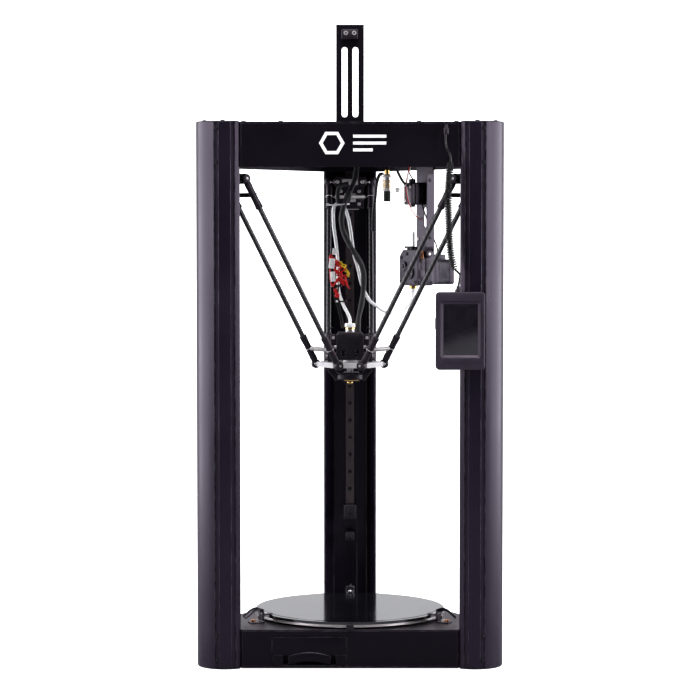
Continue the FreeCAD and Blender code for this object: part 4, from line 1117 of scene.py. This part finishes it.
plug = Build("spare_plug", "zinc", "rubber", "jacket", "brass")
plug.turned([(0, 0), (4.4, 0), (4.7, 0.5), (4.7, 14.4), (0, 14.6)], (51, 2, 560), material=1, sides=20)
for i in range(5):
    plug.turned(
        [(4.6, 0), (4.95, 0.4), (4.95, 1.2), (4.6, 1.6)], (51, 2, 562 + 2.4 * i), material=1, sides=20
    )
plug.turned(
    [(0, 0), (5.6, 0), (5.9, 0.5), (5.9, 19), (8.0, 19.6), (8.2, 20.4), (8.2, 22.4), (6.4, 23), (0, 23)],
    (51, 2, 574.4), sides=28
)
for i in range(5):
    plug.turned(
        [(5.85, 0), (6.25, 0.4), (6.25, 1.0), (5.85, 1.4)], (51, 2, 578 + 2.4 * i), material=3, sides=28
    )
plug.turned([(0, 0), (3.6, 0), (3.6, 6), (2.6, 7), (0, 7)], (51, 2, 597), material=3, sides=18)
plug.tube(
    [(51, 2, 603), (51, 4, 610), (49, 14, 628), (45, 30, 646), (41, 40, 661)], 2.6, 2, sides=12,
    uv_scale=(0.2, 2)
)
plug.tube(
    [(46, 20, 598), (41, 22, 597), (37, 24, 586), (35, 28, 568), (33, 36, 548), (32, 50, 520)], 2.3, 2,
    sides=12
)
plug.done("frame")

feed_wires = [
    (
        "feeder_wire_black", "jacket",
        [
            (79, 60, 612), (84, 62, 598), (90, 63, 588), (96, 60, 572), (106, 62, 540), (116, 66, 512),
            (122, 76, 497), (123, 82, 488)
        ],
        0.9
    ),
    (
        "sensor_wire_red", "red_wire",
        [
            (84, 58, 612), (80, 57, 598), (78, 56, 583), (80, 55, 566), (86, 54, 548), (96, 60, 537),
            (103, 68, 536)
        ],
        0.6
    ),
    (
        "sensor_wire_white", "white_wire",
        [
            (86, 59, 612), (81.5, 57.5, 598), (79.3, 56, 583), (81.6, 55.2, 566), (87.5, 54.5, 549),
            (97, 61, 539), (103, 68, 538)
        ],
        0.6
    ),
    (
        "sleeve_wire", "jacket",
        [(64, 40, 655), (62, 42, 620), (66, 46, 603), (74, 52, 588), (83, 60, 580)], 1.9
    ),
]
for name, key, points, radius in feed_wires:
    wire(name, key, points, radius, blend=False)
small_plug = Build("sensor_plug", "white_plastic")
small_plug.box((63, 44, 573), (69, 47, 580), 0.6)
small_plug.tube([(69, 45.5, 577), (73, 47, 579), (78, 50, 584)], 0.7, smooth=4)
small_plug.done("frame")

coil = Build("screen_coil_cable", "jacket", "black_plastic")
coil.tube(
    [
        (126.3, -131, 658), (126.5, -139, 656), (125.5, -141, 645), (126.5, -142, 632), (131.5, -143, 620),
        (132.5, -143, 611)
    ],
    1.5, smooth=8, sides=12,
)
coil.turned(
    [(0, 0), (3.4, 0), (3.7, 0.6), (3.7, 8), (2.4, 9.5), (2.0, 13)], (126.4, -140.2, 647), sides=16,
    material=1
)
coil_line = [
    (
        132.5, -143, 612
    ), (130, -143, 590), (129, -143.5, 560), (130, -143.5, 530), (131.5, -144, 500), (134.5, -145, 481),
    (138.5, -147, 469),
]
coil.tube(coil_path(coil_line, 4.1, 46, 16, lead=1.0), 1.05, smooth=0, sides=8)
coil.tube(
    [
        (138.5, -147, 469), (142, -149, 466), (144.5, -151, 462), (143.5, -153, 455), (142, -155, 446),
        (142, -155, 440)
    ],
    1.5, smooth=8, sides=10
)
coil.turned(
    [(0, 0), (4.2, 0), (4.2, 3.0), (2.6, 4.5), (2.2, 8), (0, 8.2)], (142, -155, 440.4), sides=16, material=1
)
coil.done(
    "frame", replaces=["coil_cable"], slot="cable_jacket", blend=("touch_screen", (0, 0, 600), (0, 0, 452))
)


# ---- feeder, drawn facing +Y and turned to its side of the frame

FEEDER_TURN = -60


def standing(made, outline, y_near, y_far, material=0, radius=0.5, holes=()):
    """A plate whose outline is (x, z), standing between two depths."""
    made.plate(
        outline, -y_far, -y_near, material=material, radius=radius, matrix=rotation(90, "X"), holes=holes
    )


housing = Build(
    "feeder_body", "feeder_plastic", "black_steel", "black_plastic", "copper", "white_plastic", "brass"
)
shell = [(-36, 447), (-32, 443.2), (10, 443.2), (13, 446), (13, 490), (10, 493), (-27, 493), (-36, 484)]
standing(housing, shell, 101, 106.2, radius=1.1, holes=[circle(-6.6, 462, 7.6)])
standing(housing, shell, 113.8, 127, radius=1.1)
core = [(-19, 443.6), (12.4, 443.6), (12.4, 492.4), (-19, 492.4)]
standing(housing, core, 106.4, 113.6, material=2, radius=0.4)
standing(housing, [(-35, 444), (-19, 444), (-19, 447), (-35, 447.5)], 106.4, 113.6, material=2, radius=0.3)
housing.turned(
    [
        (7.4, 0), (9.4, 0), (9.9, 0.6), (9.9, 2.2), (9.3, 2.8), (7.4, 2.8), (7.4, 0)
    ], (-6.6, 98.6, 462), "y", sides=36
)
housing.turned([(0, 0), (5.6, 0), (6.2, 0.6), (6.2, 3.2), (0, 3.2)], (-6.6, 99.6, 462), "y", material=2)
for x, z in ((-31, 448.5), (-30, 482), (8, 448.5), (8, 487.5), (-15, 487.5)):
    housing.screw((x, 101.2, z), 2.5, 1.6, facing="-y", material=1)
housing.turned(
    [(0, 0), (6.4, 0), (7.0, 0.6), (7.0, 2.6), (6.2, 3.2), (0, 3.2)], (-22, 98.2, 470), "y", sides=30
)
housing.turned([(0, 0), (2.4, 0), (2.8, 0.4), (2.8, 1.4), (0, 1.5)], (-22, 96.8, 470), "y", material=1)
housing.box((12.2, 103, 453), (13.6, 113, 466), 0.7, 2)
housing.box((13.0, 104.6, 455), (13.9, 111.4, 464), 0.5, 1)
housing.box((12.4, 115, 447), (13.5, 125, 476), 0.6, 0)
for y, z in ((104.5, 448), (123.5, 448), (123.5, 489.5)):
    housing.screw((13.1, y, z), 1.9, 1.2, facing="x", material=1)
knob = []
for i in range(72):
    r = 5.2 if (i // 2) % 2 else 4.75
    a = -2 * math.pi * i / 72
    knob.append((116.4 + r * math.cos(a), 487.6 + r * math.sin(a)))
knob_matrix = Matrix(((0, 0, 1, 0), (1, 0, 0, 0), (0, 1, 0, 0), (0, 0, 0, 1)))
housing.plate(knob, 13.2, 19.5, material=2, radius=0.25, matrix=knob_matrix)
housing.turned(
    [(0, 0), (2.1, 0), (2.1, 0.8), (1.4, 1.2), (0, 1.2)], (19.3, 116.4, 487.6), "x", material=4, sides=18
)
spring_line = [(14.8, 107.4, 480), (14.8, 107.4, 484), (14.8, 107.4, 488), (14.8, 107.4, 492)]
housing.tube(coil_path(spring_line, 1.9, 7, 14, lead=0.3), 0.42, 3, smooth=0, sides=7)
housing.turned([(0, 0), (1.2, 0), (1.2, 15), (0, 15)], (14.8, 107.4, 478.5), material=1, sides=12)
housing.box((12.6, 105.2, 476.5), (16.6, 109.6, 479.4), 0.5, 0)
housing.turned(
    [(2.2, 0), (5.2, 0), (5.6, 0.5), (5.6, 3.4), (4.8, 4.6), (2.2, 4.8)], (-13, 110, 493), material=2
)
housing.turned(
    [(2.1, 0), (5.4, 0), (5.4, 4.0), (4.8, 4.6), (2.1, 4.6)], (-13, 110, 438.6), material=5, sides=6
)
housing.turned(
    [(2.1, 0), (3.8, 0), (4.4, 0.5), (4.4, 1.6), (3.4, 2.2), (3.2, 5.4), (2.1, 5.6)], (-13, 110, 433.2),
    material=4
)
housing.done("frame", FEEDER_TURN, replaces=["feeder_housing"], slot="feeder_plastic")

inlet = Build("filament_inlet_tube", "ptfe")
inlet.tube([(-13, 110, 494), (-13, 110, 506), (-13, 110, 518)], 2.0, smooth=3, sides=14, uv_scale=(0.1, 3))
inlet.done("frame", FEEDER_TURN)

motor = Build("feeder_motor_body", "motor_paint", "aluminium", "zinc", "white_plastic", "feeder_plastic")


def motor_section(half, chamfer):
    outline = []
    for sx, sz in ((1, -1), (1, 1), (-1, 1), (-1, -1)):
        near = [(sx * (half - chamfer), sz * half), (sx * half, sz * (half - chamfer))]
        outline += near if sx * sz < 0 else near[::-1]
    return [(x - 6.6, z + 462) for x, z in outline]


standing(motor, motor_section(17.5, 3.2), 129, 137, material=4, radius=0.6)
standing(motor, motor_section(17.1, 3.6), 137, 154.5, material=0, radius=0.2)
standing(motor, motor_section(17.5, 3.2), 154.5, 163, material=4, radius=0.8)
for i in range(17):
    standing(motor, motor_section(17.25, 3.5), 137.4 + i, 137.9 + i, material=0, radius=0)
motor.turned(
    [(0, 0), (10.4, 0), (10.8, 0.4), (10.8, 2.0), (0, 2.0)], (-6.6, 127.0, 462), "y", material=1, sides=36
)
for x in (-20.6, 7.4):
    for z in (448, 476):
        motor.screw((x, 163, z), 2.2, 1.2, facing="y", material=2)
motor.box((-4, 138, 479), (8.6, 150, 486.6), 0.8, 4)
motor.box((-2.6, 136.6, 481), (7.2, 139.2, 485.6), 0.4, 3)
motor.done("frame", FEEDER_TURN, replaces=["feeder_motor"], slot="motor_black")

sensor = Build(
    "filament_sensor_body", "black_plastic", "feeder_plastic", "zinc", "black_steel", "white_plastic"
)
block = [(-24, 557.5), (-22.5, 556), (-3.5, 556), (-2, 557.5), (-2, 585), (-4, 587), (-22, 587), (-24, 585)]
standing(sensor, block, 101, 106.6, radius=0.8)
standing(sensor, block, 107.0, 116.8, material=1, radius=0.8)
standing(sensor, block, 117.2, 126.9, radius=0.8)
sensor.box((-27, 104, 560), (-23.6, 118, 583), 0.8)
sensor.screw((-6.5, 101, 581), 2.7, 1.7, facing="-y", material=2)
sensor.screw((-19.5, 101, 562), 2.7, 1.7, facing="-y", material=2)
sensor.turned(
    [(1.4, 0), (4.4, 0), (4.8, 0.5), (4.8, 4.0), (4.0, 5.0), (1.4, 5.2)], (-13, 108, 587), material=0
)
sensor.turned([(1.4, 0), (3.6, 0), (4.2, 0.5), (4.2, 3.0), (1.4, 3.2)], (-13, 108, 553), material=0)
sensor.box((-2.4, 118, 566), (-0.6, 124.5, 571), 0.5, 3)
sensor.box((-2.4, 118, 575), (-0.6, 124.5, 580), 0.5, 3)
sensor.box((-31, 107, 564), (-26.6, 115, 572), 0.6, 4)
sensor.box((-30, 106.4, 574.5), (-26.6, 113.6, 581), 0.6, 0)
for z in (561, 582):
    sensor.screw((-2.0, 112, z), 1.7, 1.1, facing="x", material=3)
sensor.done("frame", FEEDER_TURN, replaces=["filament_sensor"], slot="black_plastic")

hanger_screws = Build("hanger_screws", "black_steel", "zinc")
for x in (-26, -10, 6):
    for z in (616, 634):
        hanger_screws.screw((x, 127.1, z), 2.7, 1.7, facing="-y")
for x in (-27.6, 7.4):
    hanger_screws.screw((x, 127.1, 508), 2.4, 1.5, facing="-y", material=1)
for z in (510, 590):
    hanger_screws.screw((12.0, 122, z), 2.2, 1.3, facing="x")
hanger_screws.done("frame", FEEDER_TURN)


# ---- touch screen

SCREEN_LEFT, SCREEN_RIGHT, SCREEN_LOW, SCREEN_HIGH = 112.0, 177.0, 338.3, 440.7


def rounded_rectangle(left, low, right, high, radius, steps=6, clockwise=False):
    """The outline of a rectangle with round corners."""
    outline = []
    corners = ((right, high, 0), (left, high, 90), (left, low, 180), (right, low, 270))
    for x, z, start in corners:
        cx = x - radius if x == right else x + radius
        cz = z - radius if z == high else z + radius
        for i in range(steps + 1):
            a = math.radians(start + 90 * i / steps)
            outline.append((cx + radius * math.cos(a), cz + radius * math.sin(a)))
    return outline[::-1] if clockwise else outline


RIM = ((118.3, 354.6, 171.4, 427.8, -163.0), (122.6, 357.8, 167.4, 424.4, -160.9))
window_hole = rounded_rectangle(*RIM[0][:4], 1.6, 3, clockwise=True)
shell = Build("screen_shell", "shell_plastic", "black_steel", "black_plastic", "zinc")
face = rounded_rectangle(SCREEN_LEFT, SCREEN_LOW, SCREEN_RIGHT, SCREEN_HIGH, 5.5, 8)
standing(shell, face, -163, -158.6, radius=1.9, holes=[window_hole])
rim = []
for rim_left, rim_low, rim_right, rim_high, depth in RIM:
    corners = rounded_rectangle(rim_left, rim_low, rim_right, rim_high, 1.4, 3)
    rim.append([(x, depth, z) for x, z in corners])
shell.bridge(rim)
back = rounded_rectangle(SCREEN_LEFT + 0.4, SCREEN_LOW + 0.4, SCREEN_RIGHT - 0.4, SCREEN_HIGH - 0.4, 5.2, 8)
standing(shell, back, -158.3, -147.4, radius=1.0)
for x in (118, 171):
    for z in (345, 434):
        shell.screw((x, -147.4, z), 2.2, 0.4, facing="y", material=1)
for i in range(9):
    shell.box((130 + 3.6 * i, -147.6, 424), (131.6 + 3.6 * i, -147.1, 433), 0.2, 2)
shell.box((111.6, -156.5, 392), (112.3, -150.5, 406), 0.2, 3)
shell.box((137, -150.5, 438), (147, -148.5, 440.9), 0.3, 2)
shell.done("touch_screen", replaces=["screen_case"], slot="screen_shell")

pane = Build("screen_pane", "window")
standing(pane, rounded_rectangle(121.2, 356.7, 168.8, 425.3, 1.1, 3), -161.0, -159.2, radius=0.25)
pane.done("touch_screen", replaces=["screen_glass"], slot="screen_glass")

holder = Build("screen_holder_details", "black_steel")
for x, z in ((127, 364), (127, 416), (162, 364), (162, 416)):
    holder.screw((x, -144, z), 2.3, 1.4, facing="y")
holder.done("frame")


# ---- base motors

for side_name, degrees in COLUMNS:
    base_motor = Build(f"base_motor_trim_{side_name}", "aluminium", "black_steel", "white_plastic")
    base_motor.box((-4.3, 180, -58.3), (38.3, 187.6, -15.7), 2.2, 0)
    base_motor.box((-4.3, 149.7, -58.3), (38.3, 157, -15.7), 2.2, 0)
    for x in (1.5, 32.5):
        for z in (-52.5, -21.5):
            base_motor.screw((x, 149.8, z), 2.0, 1.0, facing="-y", material=1)
    base_motor.box((10, 146, -17), (24, 156, -11), 0.8, 2)
    base_motor.done("frame", degrees)


# ---- floor, light and camera

floor_level = cad_bounds[0][2]
PAPER_GLOW = 0.4


def backdrop():
    """A pale floor that curves up into a back wall."""
    mesh = bmesh.new()
    profile = [(-7.0, 0.0), (1.6, 0.0)]
    for i in range(1, 13):
        a = math.pi / 2 * i / 12
        profile.append((1.6 + 1.2 * math.sin(a), 1.2 - 1.2 * math.cos(a)))
    profile.append((2.8, 6.0))
    lines = [[mesh.verts.new((x, y, z + floor_level)) for y, z in profile] for x in (-7.0, 7.0)]
    for i in range(len(profile) - 1):
        mesh.faces.new([lines[0][i], lines[1][i], lines[1][i + 1], lines[0][i + 1]])
    data = bpy.data.meshes.new("studio_floor")
    mesh.to_mesh(data)
    mesh.free()
    data.shade_smooth()
    obj = bpy.data.objects.new("studio_floor", data)
    bpy.context.scene.collection.objects.link(obj)
    paper = Shader("studio_paper")
    seen = paper.node("ShaderNodeLightPath").outputs["Is Camera Ray"]
    depth = paper.node("ShaderNodeSeparateXYZ", {0: paper.place}).outputs[1]
    fleck = paper.mix(paper.noise(3, 2), (0.93, 0.93, 0.93), (0.96, 0.96, 0.96))
    paper.set(Base_Color=paper.mix(seen, (0.30, 0.30, 0.32), fleck), Roughness=0.9)
    paper.feed(paper.bsdf.inputs["Emission Color"], (1, 1, 1))
    glow = paper.between(depth, 0.2, 2.6, 0.03, PAPER_GLOW)
    paper.set(Emission_Strength=paper.between(seen, 0, 1, glow, 0.93))
    # Seen from behind, the wall is clear, so the back of the object shows.
    from_behind = paper.node("ShaderNodeNewGeometry").outputs["Backfacing"]
    hidden = paper.maths("MULTIPLY", seen, from_behind)
    paper.feed(paper.bsdf.inputs["Alpha"], paper.maths("SUBTRACT", 1.0, hidden))
    data.materials.append(paper.material)
    obj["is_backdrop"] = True


def soft_light(name, place, target, size, power, tint=(1, 1, 1)):
    lamp = bpy.data.lights.new(name, "AREA")
    lamp.shape = "RECTANGLE"
    lamp.size, lamp.size_y = size
    lamp.energy = power
    lamp.color = tint
    obj = bpy.data.objects.new(name, lamp)
    obj.location = place
    obj.rotation_euler = (Vector(target) - Vector(place)).to_track_quat("-Z", "Y").to_euler()
    bpy.context.scene.collection.objects.link(obj)


backdrop()
soft_light("left_panel", (-1.9, 0.1, 0.5), (-0.2, 0, 0.4), (2.2, 1.9), 56, (0.97, 0.98, 1.0))
soft_light("right_panel", (1.9, 0.1, 0.5), (0.2, 0, 0.4), (2.2, 1.9), 56, (0.97, 0.98, 1.0))
soft_light("left_fill", (-2.3, -1.7, 1.0), (0, 0, 0.35), (0.8, 1.6), 26)
soft_light("right_fill", (2.3, -1.7, 1.0), (0, 0, 0.35), (0.8, 1.6), 26)
soft_light("key_panel", (0, -2.1, 2.9), (0, 0, 0.35), (1.8, 1.4), 66)
soft_light("top_panel", (0, 0.1, 2.6), (0, 0, 0.3), (1.4, 1.2), 10)

world = bpy.data.worlds.new("studio")
world.use_nodes = True
world.node_tree.nodes["Background"].inputs["Color"].default_value = (0.92, 0.94, 1.0, 1)
lit = world.node_tree.nodes.new("ShaderNodeLightPath")
strength = world.node_tree.nodes.new("ShaderNodeMapRange")
strength.inputs["To Min"].default_value = 0.03
strength.inputs["To Max"].default_value = 1.1
world.node_tree.links.new(lit.outputs["Is Camera Ray"], strength.inputs["Value"])
world.node_tree.links.new(
    strength.outputs["Result"], world.node_tree.nodes["Background"].inputs["Strength"]
)
bpy.context.scene.world = world

camera_data = bpy.data.cameras.new("front_camera")
camera_data.lens = 126
camera_data.sensor_width = 36
camera_data.clip_end = 50
camera = bpy.data.objects.new("front_camera", camera_data)
camera.location = (0, -3.369, 0.535)
camera.rotation_euler = (Vector((0, 0, 0.356)) - camera.location).to_track_quat("-Z", "Y").to_euler()
bpy.context.scene.collection.objects.link(camera)
bpy.context.scene.camera = camera
bpy.context.scene.view_settings.view_transform = "Standard"
bpy.context.scene.view_settings.look = "Medium High Contrast"

low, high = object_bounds()
{"cad": [list(c) for c in cad_bounds], "visual": [list(low), list(high)]}
